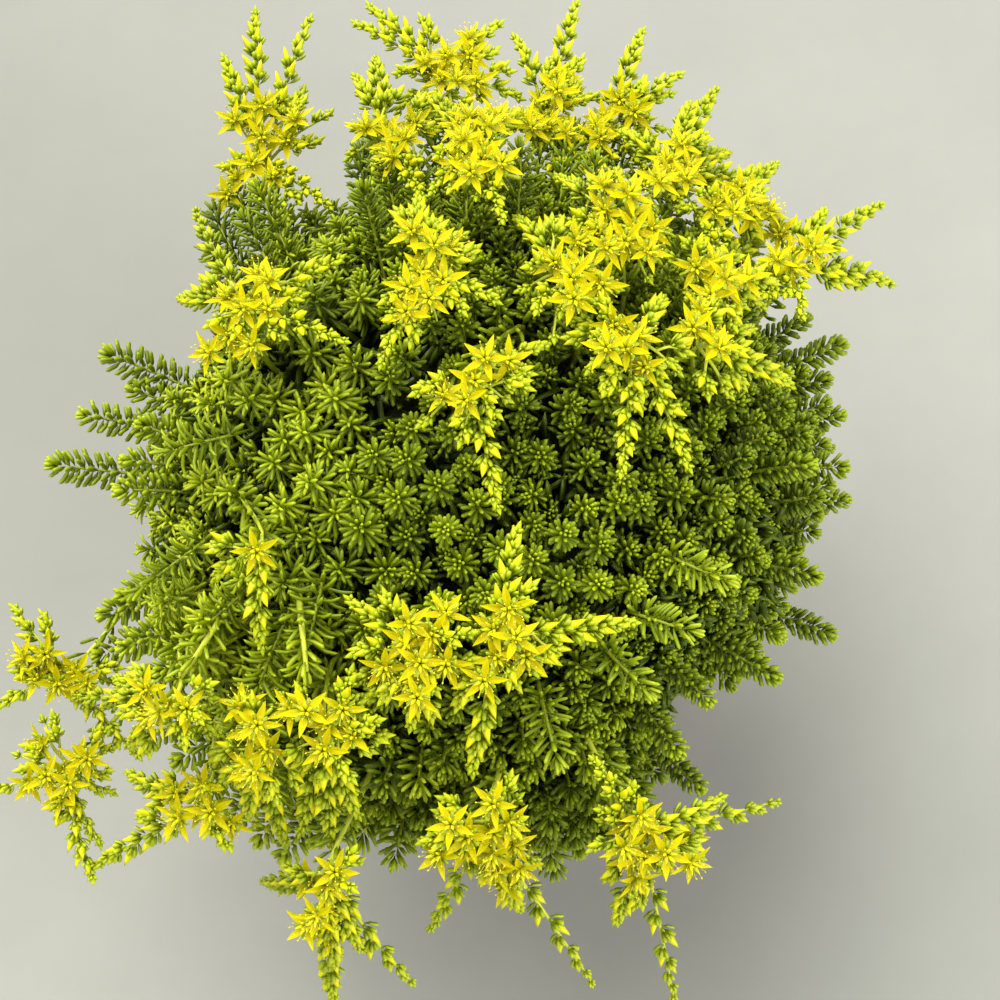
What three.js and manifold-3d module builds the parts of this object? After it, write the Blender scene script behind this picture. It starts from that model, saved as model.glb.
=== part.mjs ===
// A potted cushion of tasteless stonecrop in flower: a plain tapered pot full of soil, a domed mass of leafy
// shoots rooted in it, and flower sprays that stand in the cushion and hang over its edge.
// Millimetres, +Z up, with the origin at the centre of the pot's foot.
import * as THREE from 'three';
import { mergeVertices } from 'three/addons/utils/BufferGeometryUtils.js';
import Module from 'manifold-3d';

const wasm = await Module();
wasm.setup();

// Pot and soil
const POT_HEIGHT = 80;
const POT_RIM_RADIUS = 50;
const POT_FOOT_RADIUS = 35;
const POT_WALL = 2.4;
const POT_FLOOR = 3;
const RIM_DEPTH = 11;
const RIM_STEP = 1.8;
const DRAIN_HOLES = 5;
const DRAIN_RADIUS = 3.2;
const DRAIN_RING = 24;
const SOIL_TOP = 70;
const CLEARANCE = 0.35;

// Rooted stems that carry the cushion in the soil
const ROOTED_STEMS = 5;
const ROOTED_RING = 25;
const ROOTED_RADIUS = 1.5;
const ROOTED_DEPTH = 9;

// Cushion: the outline that the shoot tips reach, and the smaller mass inside it
const CENTRE = new THREE.Vector3(0, 0, 88);
const DOME_RADIUS = 73;
const DOME_RISE = 57;
const TANGLE_INSET = 12;
const TANGLE_DETAIL = 4;
const TANGLE_ROUGHNESS = 6.5;
const RIM_OVERHANG = 5;
const RIM_CLEARANCE = 1.2;
const SHOOTS = 168;
const SHOOT_LENGTH = 16;
const SHOOT_PITCH = 4.5;
const TUFT_FROM = 3.6;
const TUFT_TO = 1.6;
const LOWEST_SHOOT = THREE.MathUtils.degToRad(113);
const GOLDEN_ANGLE = Math.PI * (3 - Math.sqrt(5));

// Leaves, flowers and buds at their real size
const LEAF_LENGTH = 4.6;
const STALK_RADIUS = 0.95;
const PETALS = 5;
const PETAL_LENGTH = 4.9;
const VALLEY_RADIUS = 1.4;
const FLOWER_PEAK = 1;
const FLOWER_PITCH = 4.8;
const FLOWER_HEIGHTS = [2.4, 3.2, 4, 1.8];
const BUD_LENGTH = 4.2;
const BUD_PITCH = 3.8;
const LEAF_PITCH = 5;
const SOCKET_DEPTH = 5;
const BARE_FOOT = 9;
const GAP = 0.4;
const SLIVER = 0.02;

// The side that the sprays are laid out from: a view down on the front, this far from the cushion's centre
const VIEW_ELEVATION = THREE.MathUtils.degToRad(65);
const VIEW_DISTANCE = 450;
const ACROSS = new THREE.Vector3(1, 0, 0);
const TOWARD = new THREE.Vector3(0, -Math.cos(VIEW_ELEVATION), Math.sin(VIEW_ELEVATION));
const UPWARD = new THREE.Vector3().crossVectors(TOWARD, ACROSS);

// Every spray as seen from there, in millimetres across and up from the cushion's centre: where its stem
// leaves the cushion, where it forks, and where each branch of buds ends
const SPRAYS = [
  { name: 'spray_back_left', root: [-34, 48], fork: [-43, 72], tips: [[-47, 99], [-35, 97], [-52, 85]] },
  { name: 'spray_left_high', root: [-38, 26], fork: [-47, 41], tips: [[-57, 60], [-60, 42], [-27, 50]] },
  { name: 'spray_back_bent', root: [-5, 60], fork: [-7, 90], tips: [[-22, 100], [4, 97]] },
  { name: 'spray_back_inner', root: [-14, 50], fork: [-18, 75], tips: [[-21, 90], [-11, 62]] },
  { name: 'spray_crown_left', root: [-2, 42], fork: [-11, 48], tips: [[-19, 30], [4, 42], [-12, 62]], lift: 10 },
  { name: 'spray_crown_front', root: [8, 32], fork: [-1, 27], tips: [[4, 1], [-14, 19], [13, 33]] },
  { name: 'spray_back_mid', root: [14, 62], fork: [13, 80], tips: [[18, 101], [7, 94]] },
  { name: 'spray_back_right', root: [24, 58], fork: [25, 76], tips: [[32, 95], [38, 83]] },
  { name: 'spray_right_back', root: [34, 50], fork: [37, 67], tips: [[47, 84], [49, 71]] },
  { name: 'spray_right_high', root: [42, 42], fork: [48, 59], tips: [[59, 69], [40, 60]] },
  { name: 'spray_right_long', root: [50, 34], fork: [61, 49], tips: [[80, 61], [82, 45]] },
  { name: 'spray_right_mid', root: [40, 32], fork: [46, 47], tips: [[57, 55], [56, 41]] },
  { name: 'spray_crown_right', root: [26, 36], fork: [27, 58], tips: [[16, 66], [38, 55]] },
  { name: 'spray_crown_mid', root: [18, 28], fork: [17, 48], tips: [[8, 58], [28, 45]] },
  { name: 'spray_front_right', root: [28, 20], fork: [31, 35], tips: [[29, 8], [42, 9]] },
  { name: 'spray_right_low', root: [38, 22], fork: [44, 33], tips: [[62, 25], [50, 23]], lift: 7 },
  { name: 'spray_back_crown', root: [2, 54], fork: [-1, 72], tips: [[-11, 83], [7, 79]], lift: 12 },
  { name: 'spray_front_left', root: [-8, -16], fork: [-12, -26], tips: [[-25, -18], [-13, -43], [-24, -34]] },
  { name: 'spray_front_mid', root: [7, -16], fork: [4, -25], tips: [[8, -3], [31, -22], [-1, -52]] },
  { name: 'spray_left_small', root: [-42, 2], fork: [-43, -8], tips: [[-52, -14], [-43, -27]] },
  { name: 'spray_left_reach', root: [-60, -14], fork: [-82, -31], tips: [[-93, -19], [-96, -39]] },
  { name: 'spray_left_trail', root: [-59, -30], fork: [-83, -49], tips: [[-98, -55], [-80, -73]] },
  { name: 'spray_left_low', root: [-46, -38], fork: [-54, -57], tips: [[-75, -72], [-44, -62]] },
  { name: 'spray_left_front', root: [-52, -22], fork: [-60, -35], tips: [[-70, -28], [-52, -44]], lift: 12 },
  { name: 'spray_low_left', root: [-26, -28], fork: [-30, -43], tips: [[-22, -37], [-24, -58]] },
  { name: 'spray_low_outer', root: [-38, -30], fork: [-42, -45], tips: [[-38, -64], [-33, -54]] },
  { name: 'spray_hang_left', root: [-20, -49], fork: [-30, -76], tips: [[-44, -74], [-33, -98], [-12, -93]], lift: 12 },
  { name: 'spray_hang_mid', root: [4, -46], fork: [2, -66], tips: [[23, -95], [-11, -83]] },
  { name: 'spray_hang_right', root: [20, -42], fork: [33, -65], tips: [[60, -58], [23, -49], [39, -98]] },
];
const SPRAY_LIFT = 8;

// The tips of the long shoots, seen from the same side
const LONG_SHOOTS = [
  [-86, 9], [-80, 19], [-74, 31], [-73, -10], [-68, 44],
  [75, 32], [76, 18], [77, 2], [70, -13], [74, -26], [62, -33], [50, -40], [46, -56],
];

const LEAF_GREEN = new THREE.MeshStandardMaterial({ color: 0x5f8f22, roughness: 0.55, metalness: 0 });
const FLOWER_YELLOW = new THREE.MeshStandardMaterial({ color: 0xe6d21a, roughness: 0.5, metalness: 0 });
const POT_BROWN = new THREE.MeshStandardMaterial({ color: 0x8a4b33, roughness: 0.7, metalness: 0 });
const SOIL_BROWN = new THREE.MeshStandardMaterial({ color: 0x2e2119, roughness: 0.95, metalness: 0 });

// A repeatable value from 0 to 1 for the i-th of a kind
function chance(i, kind) {
  const wave = Math.sin(i * 12.9898 + kind * 78.233) * 43758.5453;
  return wave - Math.floor(wave);
}

// The closed solid of a geometry, with its faces pointing out
function solid(geometry) {
  const bare = geometry.clone();
  bare.deleteAttribute('normal');
  bare.deleteAttribute('uv');
  const merged = mergeVertices(bare, 1e-3);
  const make = (triVerts) => new wasm.Manifold(new wasm.Mesh({
    numProp: 3,
    vertProperties: new Float32Array(merged.attributes.position.array),
    triVerts,
  }));
  const faces = new Uint32Array(merged.index.array);
  const made = make(faces);
  if (made.volume() > 0) return made;
  return make(faces.reverse());
}

function meshOf(name, body, material) {
  const { vertProperties, triVerts } = body.getMesh();
  const geometry = new THREE.BufferGeometry();
  geometry.setAttribute('position', new THREE.BufferAttribute(new Float32Array(vertProperties), 3));
  geometry.setIndex(new THREE.BufferAttribute(new Uint32Array(triVerts), 1));
  geometry.computeVertexNormals();
  const mesh = new THREE.Mesh(geometry, material);
  mesh.name = name;
  return mesh;
}

// The one body that a join leaves, without its slivers and loose scraps
function joined(pieces) {
  const bodies = wasm.Manifold.union(pieces).simplify(SLIVER).decompose();
  return bodies.reduce((most, body) => (body.volume() > most.volume() ? body : most));
}

function turned(profile, sides) {
  const points = profile.map(([r, z]) => new THREE.Vector2(r, z));
  return new THREE.LatheGeometry(points, sides).rotateX(Math.PI / 2);
}

function uprightPrism(radius, low, high, sides, x, y) {
  const prism = new THREE.CylinderGeometry(radius, radius, high - low, sides);
  return prism.rotateX(Math.PI / 2).translate(x, y, (low + high) / 2);
}

function ringPlaces(count, radius) {
  return Array.from({ length: count }, (_, i) => {
    const angle = (2 * Math.PI * i) / count;
    return [radius * Math.cos(angle), radius * Math.sin(angle)];
  });
}

// The pot's outer radius under the rim at a height
function potRadius(z) {
  return POT_FOOT_RADIUS + (POT_RIM_RADIUS - RIM_STEP - POT_FOOT_RADIUS) * (z / POT_HEIGHT);
}

function potSolid() {
  const underRim = POT_HEIGHT - RIM_DEPTH;
  const inside = (z) => potRadius(z) - POT_WALL;
  let pot = solid(turned([
    [0, 0],
    [POT_FOOT_RADIUS - 1, 0],
    [POT_FOOT_RADIUS, 1],
    [potRadius(underRim), underRim],
    [potRadius(underRim) + RIM_STEP, underRim + 1],
    [POT_RIM_RADIUS, POT_HEIGHT - 1],
    [POT_RIM_RADIUS - 1, POT_HEIGHT],
    [inside(POT_HEIGHT) + 0.6, POT_HEIGHT],
    [inside(POT_HEIGHT), POT_HEIGHT - 1],
    [inside(POT_FLOOR), POT_FLOOR],
    [0, POT_FLOOR],
  ], 24));
  for (const [x, y] of ringPlaces(DRAIN_HOLES, DRAIN_RING)) {
    pot = pot.subtract(solid(uprightPrism(DRAIN_RADIUS, -1, POT_FLOOR + 1, 6, x, y)));
  }
  return pot;
}

function rootedPlaces() {
  return [[0, 0], ...ringPlaces(ROOTED_STEMS - 1, ROOTED_RING)];
}

function soilSolid() {
  const bottom = POT_FLOOR + CLEARANCE;
  const radius = (z) => potRadius(z) - POT_WALL - CLEARANCE - 0.1;
  let soil = solid(turned([
    [0, bottom],
    [radius(bottom), bottom],
    [radius(SOIL_TOP), SOIL_TOP],
    [0, SOIL_TOP],
  ], 24));
  for (const [x, y] of rootedPlaces()) {
    const hole = uprightPrism(ROOTED_RADIUS + 0.8, SOIL_TOP - ROOTED_DEPTH - 1, SOIL_TOP + 1, 5, x, y);
    soil = soil.subtract(solid(hole));
  }
  return soil;
}

// A point seen at (across, up), lifted off the cushion's outline by a height. Past the outline it keeps the
// depth of the nearest edge.
function overCushion(across, up, lift) {
  const wide = (DOME_RADIUS + lift) ** 2;
  const high = (DOME_RISE + lift) ** 2;
  const flat = (v, w) => (v.x * w.x + v.y * w.y) / wide + (v.z * w.z) / high;
  let near = 0;
  const point = new THREE.Vector3();
  for (let pass = 0; pass < 3; pass += 1) {
    const shrink = (VIEW_DISTANCE - near) / VIEW_DISTANCE;
    point.set(0, 0, 0).addScaledVector(ACROSS, across * shrink).addScaledVector(UPWARD, up * shrink);
    const a = flat(TOWARD, TOWARD);
    const b = 2 * flat(point, TOWARD);
    const c = flat(point, point) - 1;
    near = (-b + Math.sqrt(Math.max(0, b * b - 4 * a * c))) / (2 * a);
  }
  return point.addScaledVector(TOWARD, near).add(CENTRE);
}

// The direction straight out of the cushion at a point
function outward(point) {
  const v = point.clone().sub(CENTRE);
  return new THREE.Vector3(v.x / DOME_RADIUS ** 2, v.y / DOME_RADIUS ** 2, v.z / DOME_RISE ** 2).normalize();
}

// The direction nearest a hint that is square to a heading
function squareTo(heading, hint) {
  return hint.clone().addScaledVector(heading, -hint.dot(heading)).normalize();
}

// The frame of each ring of a stalk: its centre, heading, and two directions square to that. The hint gives the
// first direction at the tip, and it is carried down the curve from there without a twist.
function ringFrames(curve, rings, hint) {
  const frames = [];
  let first = hint;
  for (let k = rings.length - 1; k >= 0; k -= 1) {
    const heading = curve.getTangentAt(rings[k].at);
    first = squareTo(heading, first);
    frames[k] = { centre: curve.getPointAt(rings[k].at), heading, first };
    frames[k].second = new THREE.Vector3().crossVectors(heading, first);
  }
  return frames;
}

function aroundFrame(frame, radius, angle) {
  return frame.centre.clone()
    .addScaledVector(frame.first, radius * Math.cos(angle))
    .addScaledVector(frame.second, radius * Math.sin(angle));
}

// The corners of an open flower: valleys between its petals and the petals' tips, round a low peak
function starPoints({ centre, facing, spin }) {
  const first = squareTo(facing, Math.abs(facing.x) < 0.8 ? ACROSS : UPWARD);
  const frame = { centre, first, second: new THREE.Vector3().crossVectors(facing, first) };
  const step = (2 * Math.PI) / PETALS;
  const valleys = [];
  const tips = [];
  for (let p = 0; p < PETALS; p += 1) {
    valleys.push(aroundFrame(frame, VALLEY_RADIUS, spin + p * step));
    tips.push(aroundFrame(frame, PETAL_LENGTH, spin + (p + 0.5) * step).addScaledVector(facing, 0.6));
  }
  return { peak: centre.clone().addScaledVector(facing, FLOWER_PEAK), valleys, tips };
}

// The faces of a flower's front and of its petals' flat backs, with the numbers of the peak, valleys and tips
function starFaces(peak, valleys, tips) {
  return valleys.flatMap((valley, p) => {
    const next = valleys[(p + 1) % PETALS];
    return [peak, valley, tips[p], peak, tips[p], next, valley, next, tips[p]];
  });
}

// A flower on its own, closed by a shallow back, which stands for it where its clearance is tried
function looseStar(bloom) {
  const { peak, valleys, tips } = starPoints(bloom);
  const back = bloom.centre.clone().addScaledVector(bloom.facing, -0.5);
  const number = (p, kind) => 2 + 2 * p + kind;
  const points = [peak, back];
  valleys.forEach((valley, p) => points.push(valley, tips[p]));
  const faces = starFaces(0, valleys.map((_, p) => number(p, 0)), tips.map((_, p) => number(p, 1)));
  valleys.forEach((_, p) => faces.push(1, number((p + 1) % PETALS, 0), number(p, 0)));
  const geometry = new THREE.BufferGeometry().setFromPoints(points);
  geometry.setIndex(faces);
  return solid(geometry);
}

// The faces of a skin from a triangle up to the ring of valleys: whichever side lags behind takes the next step
function cupFaces(corners, ring, points, bloom) {
  const first = squareTo(bloom.facing, Math.abs(bloom.facing.x) < 0.8 ? ACROSS : UPWARD);
  const second = new THREE.Vector3().crossVectors(bloom.facing, first);
  const middle = corners.reduce((sum, v) => sum.add(points[v]), new THREE.Vector3()).divideScalar(3);
  const angleOf = (v, from) => {
    const arm = points[v].clone().sub(from);
    return Math.atan2(arm.dot(second), arm.dot(first));
  };
  const wrap = (angle) => (angle + 4 * Math.PI) % (2 * Math.PI);
  const start = angleOf(corners[0], middle);
  const low = corners.map((v) => ({ v, angle: wrap(angleOf(v, middle) - start + 1e-6) }));
  const high = ring.map((v) => ({ v, angle: wrap(angleOf(v, bloom.centre) - start + 0.6) }));
  low.sort((p, q) => p.angle - q.angle);
  high.sort((p, q) => p.angle - q.angle);
  const faces = [];
  const nextAngle = (list, n) => {
    if (n >= list.length) return Infinity;
    return list[n + 1]?.angle ?? 2 * Math.PI;
  };
  let [i, j] = [0, 0];
  while (i < low.length || j < high.length) {
    const l = low[i % low.length];
    const h = high[j % high.length];
    if (nextAngle(low, i) <= nextAngle(high, j)) {
      i += 1;
      faces.push(l.v, low[i % low.length].v, h.v);
    } else {
      j += 1;
      faces.push(h.v, l.v, high[j % high.length].v);
    }
  }
  return faces;
}

// A three-sided stalk along a curve, pointed at both ends. Each ring has its place along the curve and a radius.
// Some faces of the band above a ring are raised to a point and so become a leaf or a bud, in the rows that the
// ring names by their angle, and one may carry a flower. It also tells where a flower could stand.
function stalk(curve, rings, hint) {
  const count = rings.length;
  const frames = ringFrames(curve, rings, hint);
  const ball = new THREE.SphereGeometry(1, 3, count + 1);
  ball.deleteAttribute('normal');
  ball.deleteAttribute('uv');
  const merged = mergeVertices(ball, 1e-4);
  const source = merged.attributes.position;
  const points = [];
  const levels = [];
  for (let v = 0; v < source.count; v += 1) {
    const level = Math.round((Math.acos(THREE.MathUtils.clamp(source.getY(v), -1, 1)) * (count + 1)) / Math.PI);
    levels.push(level);
    if (level === 0 || level === count + 1) {
      points.push(curve.getPointAt(level === 0 ? 1 : 0));
      continue;
    }
    const k = count - level;
    const turn = Math.atan2(source.getZ(v), -source.getX(v)) + (k * Math.PI) / 3 + Math.PI / 6;
    points.push(aroundFrame(frames[k], rings[k].radius, turn));
  }
  const faces = [];
  const sites = [];
  const index = merged.index.array;
  for (let f = 0; f < index.length; f += 3) {
    const face = [...index.slice(f, f + 3)];
    const top = Math.min(...face.map((v) => levels[v]));
    const bottom = Math.max(...face.map((v) => levels[v]));
    const k = count - bottom;
    const { heading, centre, first, second } = frames[k] ?? {};
    if (!heading || top < 1) {
      faces.push(...face);
      continue;
    }
    const middle = face.reduce((sum, v) => sum.add(points[v]), new THREE.Vector3()).divideScalar(3);
    const away = squareTo(heading, middle.clone().sub(centre));
    const angle = THREE.MathUtils.radToDeg(Math.atan2(away.dot(second), away.dot(first)));
    const inRow = (row) => Math.cos(THREE.MathUtils.degToRad(angle - row)) > 0.8;
    const { raise, flowerRow, bloom } = rings[k];
    const vacant = flowerRow !== undefined && !sites.some((site) => site.ring === k);
    if (vacant && inRow(flowerRow)) {
      sites.push({ ring: k, middle, away, heading });
      if (bloom) {
        const { peak, valleys, tips } = starPoints(bloom);
        const from = points.length;
        points.push(peak, ...valleys, ...tips);
        const ring = valleys.map((_, p) => from + 1 + p);
        const ends = tips.map((_, p) => from + 1 + PETALS + p);
        faces.push(...cupFaces(face, ring, points, bloom), ...starFaces(from, ring, ends));
        continue;
      }
    }
    if (raise && raise.rows.some(inRow)) {
      points.push(middle
        .addScaledVector(away, raise.length * Math.cos(raise.slope))
        .addScaledVector(heading, raise.length * Math.sin(raise.slope)));
      levels.push(-1);
      const t = points.length - 1;
      faces.push(face[0], face[1], t, face[1], face[2], t, face[2], face[0], t);
      continue;
    }
    faces.push(...face);
  }
  const geometry = new THREE.BufferGeometry().setFromPoints(points);
  geometry.setIndex(faces);
  return { body: solid(geometry), sites };
}

const SIX_ROWS = [30, 90, 150, -150, -90, -30];
const BUD_ROWS = [30, -30];
const EVEN_ROWS = [30, 150, -90];
const ODD_ROWS = [-30, -150, 90];

// The rings of a branch that starts at a distance along its curve: open flowers first, on alternate sides, then
// buds in two rows that grow smaller to the tip
function flowerRings(from, length, side) {
  const rings = [];
  const room = length - from;
  const flowers = THREE.MathUtils.clamp(Math.round((room * 0.45) / FLOWER_PITCH), 1, 3);
  for (let f = 0; f < flowers; f += 1) {
    rings.push({ at: from + f * FLOWER_PITCH, radius: 0.8, flowerRow: (f + side) % 2 ? 30 : -30 });
  }
  const budFrom = from + flowers * FLOWER_PITCH;
  const bands = Math.max(2, Math.round((length - budFrom - 1) / BUD_PITCH));
  for (let k = 0; k <= bands; k += 1) {
    const along = k / bands;
    rings.push({
      at: budFrom + (length - 1 - budFrom) * along,
      radius: 1 - 0.3 * along,
      raise: { rows: BUD_ROWS, length: BUD_LENGTH * (1 - 0.4 * along), slope: 0.8 },
    });
  }
  return rings;
}

// The stalks of one spray: a main one from its foot through the fork to the first tip, and one for each other tip
function sprayStalks(spray) {
  const lift = spray.lift ?? SPRAY_LIFT;
  const root = overCushion(...spray.root, -TANGLE_INSET);
  const fork = overCushion(...spray.fork, lift);
  const out = outward(root);
  const foot = root.clone().addScaledVector(out, -SOCKET_DEPTH);
  const neck = root.clone().addScaledVector(out, 7);
  const up = outward(fork).multiplyScalar(0.5).addScaledVector(TOWARD, 0.7).normalize();
  const stalks = spray.tips.map((tip, b) => {
    const end = overCushion(...tip, lift - 2);
    const middle = fork.clone().lerp(end, 0.5).addScaledVector(up, 1.5);
    const stem = b === 0 ? [foot, root, neck] : [];
    const curve = new THREE.CatmullRomCurve3([...stem, fork, middle, end]);
    const length = curve.getLength();
    const rings = [];
    let from = 3;
    if (b === 0) {
      const steps = 50 * 5;
      const toFork = curve.getLengths(steps)[(3 / 5) * steps];
      const leafFrom = SOCKET_DEPTH + BARE_FOOT;
      const bands = Math.max(1, Math.round((toFork - leafFrom) / LEAF_PITCH));
      rings.push({ at: 0.4, radius: STALK_RADIUS }, { at: SOCKET_DEPTH + 3, radius: STALK_RADIUS });
      for (let k = 0; k < bands; k += 1) {
        const at = leafFrom + ((toFork - leafFrom) * k) / bands;
        const rows = k % 2 ? ODD_ROWS : EVEN_ROWS;
        rings.push({ at, radius: STALK_RADIUS, raise: { rows, length: LEAF_LENGTH, slope: 0.7 } });
      }
      from = toFork;
    } else {
      rings.push({ at: 0.6, radius: 0.8 });
    }
    rings.push(...flowerRings(from, length, b));
    return { curve, rings: rings.map((ring) => ({ ...ring, at: ring.at / length })), up };
  });
  return { stalks, foot, out };
}

function clearOf(body, others, gap) {
  return others.every((other) => body.minGap(other, 1) >= gap);
}

// A flower on its site that clears all the others, found by turning it and by lengthening its stalk
function fitFlower(site, own, others) {
  const facing = site.away.clone().addScaledVector(squareTo(site.heading, TOWARD), 0.35)
    .addScaledVector(site.heading, 0.15).normalize();
  for (const height of FLOWER_HEIGHTS) {
    const centre = site.middle.clone().addScaledVector(facing, height);
    for (let turn = 0; turn < 6; turn += 1) {
      const bloom = { centre, facing, spin: (turn * 2 * Math.PI) / (6 * PETALS) };
      const trial = looseStar(bloom);
      if (clearOf(trial, own, 0.12) && clearOf(trial, others, GAP)) return { bloom, trial };
    }
  }
  return null;
}

function makeSprays() {
  const made = [];
  for (const spray of SPRAYS) {
    const { stalks, foot, out } = sprayStalks(spray);
    const bare = stalks.map(({ curve, rings, up }) => stalk(curve, rings, up));
    const others = made.map((m) => m.body);
    const own = bare.map((b) => b.body);
    bare.forEach(({ sites }, s) => {
      for (const site of sites) {
        const found = fitFlower(site, own, others);
        if (!found) continue;
        own.push(found.trial);
        stalks[s].rings[site.ring].bloom = found.bloom;
      }
    });
    const body = joined(stalks.map(({ curve, rings, up }) => stalk(curve, rings, up).body));
    made.push({ name: spray.name, body, foot, out });
  }
  return made;
}

// The tangle of old stems inside the cushion: a ball of small triangles, each raised to a rough point, that
// fills the pot's mouth and hangs over its rim
function tangleSolid() {
  const ball = new THREE.IcosahedronGeometry(1, TANGLE_DETAIL);
  ball.deleteAttribute('normal');
  ball.deleteAttribute('uv');
  ball.scale(DOME_RADIUS - TANGLE_INSET, DOME_RADIUS - TANGLE_INSET, DOME_RISE - TANGLE_INSET);
  const merged = mergeVertices(ball.translate(...CENTRE), 1e-3);
  const source = merged.attributes.position;
  const pointAt = (_, v) => new THREE.Vector3().fromBufferAttribute(source, v);
  const points = Array.from({ length: source.count }, pointAt);
  const index = merged.index.array;
  const faces = [];
  for (let f = 0; f < index.length; f += 3) {
    const [a, b, c] = index.slice(f, f + 3);
    const middle = points[a].clone().add(points[b]).add(points[c]).divideScalar(3);
    points.push(middle.addScaledVector(outward(middle), TANGLE_ROUGHNESS * (0.6 + 0.8 * chance(f, 2))));
    const tip = points.length - 1;
    faces.push(a, b, tip, b, c, tip, c, a, tip);
  }
  const geometry = new THREE.BufferGeometry().setFromPoints(points);
  geometry.setIndex(faces);
  const skirt = POT_HEIGHT - RIM_OVERHANG;
  const mouth = potRadius(SOIL_TOP) - POT_WALL - 2;
  const overRim = POT_HEIGHT + RIM_CLEARANCE;
  const aroundRim = POT_RIM_RADIUS + 2 * RIM_CLEARANCE;
  return solid(geometry)
    .subtract(solid(uprightPrism(2 * DOME_RADIUS, -DOME_RADIUS, skirt, 12, 0, 0)))
    .subtract(solid(uprightPrism(aroundRim, -DOME_RADIUS, overRim, 24, 0, 0)))
    .add(solid(uprightPrism(mouth, SOIL_TOP + CLEARANCE, overRim + 3, 24, 0, 0)));
}

// A leafy shoot from its root to its tip: a dense tuft of six leaves at the end, and thinner rows down its length
function shootSolid(root, tip, lowerBands, turn) {
  const length = tip.distanceTo(root);
  const bend = root.clone().lerp(tip, 0.5).addScaledVector(outward(root), length * 0.08);
  const curve = new THREE.QuadraticBezierCurve3(root, bend, tip);
  const rings = [];
  for (let k = lowerBands; k > 0; k -= 1) {
    const rows = k % 2 ? ODD_ROWS : EVEN_ROWS;
    const at = 1 - (TUFT_FROM + k * SHOOT_PITCH) / length;
    rings.push({ at, radius: 1, raise: { rows, length: LEAF_LENGTH, slope: 0.4 } });
  }
  const tuft = { rows: SIX_ROWS, length: LEAF_LENGTH, slope: 0.5 };
  rings.push({ at: 1 - TUFT_FROM / length, radius: 1.15, raise: tuft });
  rings.push({ at: 1 - TUFT_TO / length, radius: 1.1 });
  return stalk(curve, rings, new THREE.Vector3(-Math.sin(turn), Math.cos(turn), 0.3)).body;
}

// The shoots that cover the dome evenly, each a little longer or shorter than the next
function coverShoot(i) {
  const down = Math.acos(1 - ((i + 0.5) / SHOOTS) * (1 - Math.cos(LOWEST_SHOOT)));
  const round = i * GOLDEN_ANGLE;
  const tip = new THREE.Vector3(
    DOME_RADIUS * Math.sin(down) * Math.cos(round),
    DOME_RADIUS * Math.sin(down) * Math.sin(round),
    DOME_RISE * Math.cos(down),
  ).add(CENTRE);
  const out = outward(tip);
  const root = tip.clone().addScaledVector(out, -SHOOT_LENGTH);
  tip.addScaledVector(out, (chance(i, 1) - 0.45) * 5);
  return shootSolid(root, tip, 0, round * 3);
}

// The long loose shoots that reach past the dome
function longShoot([across, up], i) {
  const tip = overCushion(across, up, 0);
  const root = CENTRE.clone().lerp(tip, (DOME_RADIUS - TANGLE_INSET - 6) / tip.distanceTo(CENTRE));
  const bands = Math.floor((tip.distanceTo(root) - 10) / SHOOT_PITCH);
  return shootSolid(root, tip, bands, i);
}

function cushionSolid(sprays) {
  let tangle = tangleSolid();
  for (const spray of sprays) {
    const hole = new THREE.CylinderGeometry(2, 2, 14, 4).rotateX(Math.PI / 2);
    hole.applyQuaternion(new THREE.Quaternion().setFromUnitVectors(new THREE.Vector3(0, 0, 1), spray.out));
    hole.translate(...spray.foot.clone().addScaledVector(spray.out, 6));
    tangle = tangle.subtract(solid(hole));
  }
  const pieces = [tangle];
  for (const [x, y] of rootedPlaces()) {
    pieces.push(solid(uprightPrism(ROOTED_RADIUS, SOIL_TOP - ROOTED_DEPTH, SOIL_TOP + 2, 5, x, y)));
  }
  const bodies = sprays.map((s) => s.body);
  const shoots = LONG_SHOOTS.map(longShoot);
  for (let i = 0; i < SHOOTS; i += 1) shoots.push(coverShoot(i));
  pieces.push(...shoots.filter((shoot) => clearOf(shoot, bodies, GAP)));
  return joined(pieces);
}

const sprays = makeSprays();
const cushion = cushionSolid(sprays);
const plant = new THREE.Group();
plant.add(meshOf('pot', potSolid(), POT_BROWN));
plant.add(meshOf('soil', soilSolid(), SOIL_BROWN));
plant.add(meshOf('cushion', cushion, LEAF_GREEN));
for (const spray of sprays) plant.add(meshOf(spray.name, spray.body, FLOWER_YELLOW));

export default plant;
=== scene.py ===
# %% [markdown]
# # A potted cushion of tasteless stonecrop
#
# Sedum sexangulare is a low succulent that creeps into a dense cushion. Each shoot carries narrow, rounded
# leaves in six rows, and in summer leafy stems rise above the cushion, fork, and carry yellow stars and buds.
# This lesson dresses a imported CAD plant: every solid of foliage is replaced by real leaves, petals and buds.

# %% Load the frame
import math

import bmesh
import bpy
import numpy as np
from mathutils import Matrix, Vector


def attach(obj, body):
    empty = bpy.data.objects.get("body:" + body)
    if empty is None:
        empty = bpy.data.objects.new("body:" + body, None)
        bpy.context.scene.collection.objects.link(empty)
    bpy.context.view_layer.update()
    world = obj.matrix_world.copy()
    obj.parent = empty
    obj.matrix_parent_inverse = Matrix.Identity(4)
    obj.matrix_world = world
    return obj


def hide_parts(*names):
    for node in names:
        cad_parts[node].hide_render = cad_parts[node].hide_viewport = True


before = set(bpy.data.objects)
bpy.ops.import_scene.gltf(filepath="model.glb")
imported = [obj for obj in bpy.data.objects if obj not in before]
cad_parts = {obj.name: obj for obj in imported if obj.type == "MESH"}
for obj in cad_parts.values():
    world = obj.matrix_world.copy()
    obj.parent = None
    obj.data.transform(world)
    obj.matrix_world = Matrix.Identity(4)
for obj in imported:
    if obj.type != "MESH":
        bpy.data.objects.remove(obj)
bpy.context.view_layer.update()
bpy.ops.object.select_all(action="DESELECT")
print("CAD nodes:", len(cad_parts))

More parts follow.
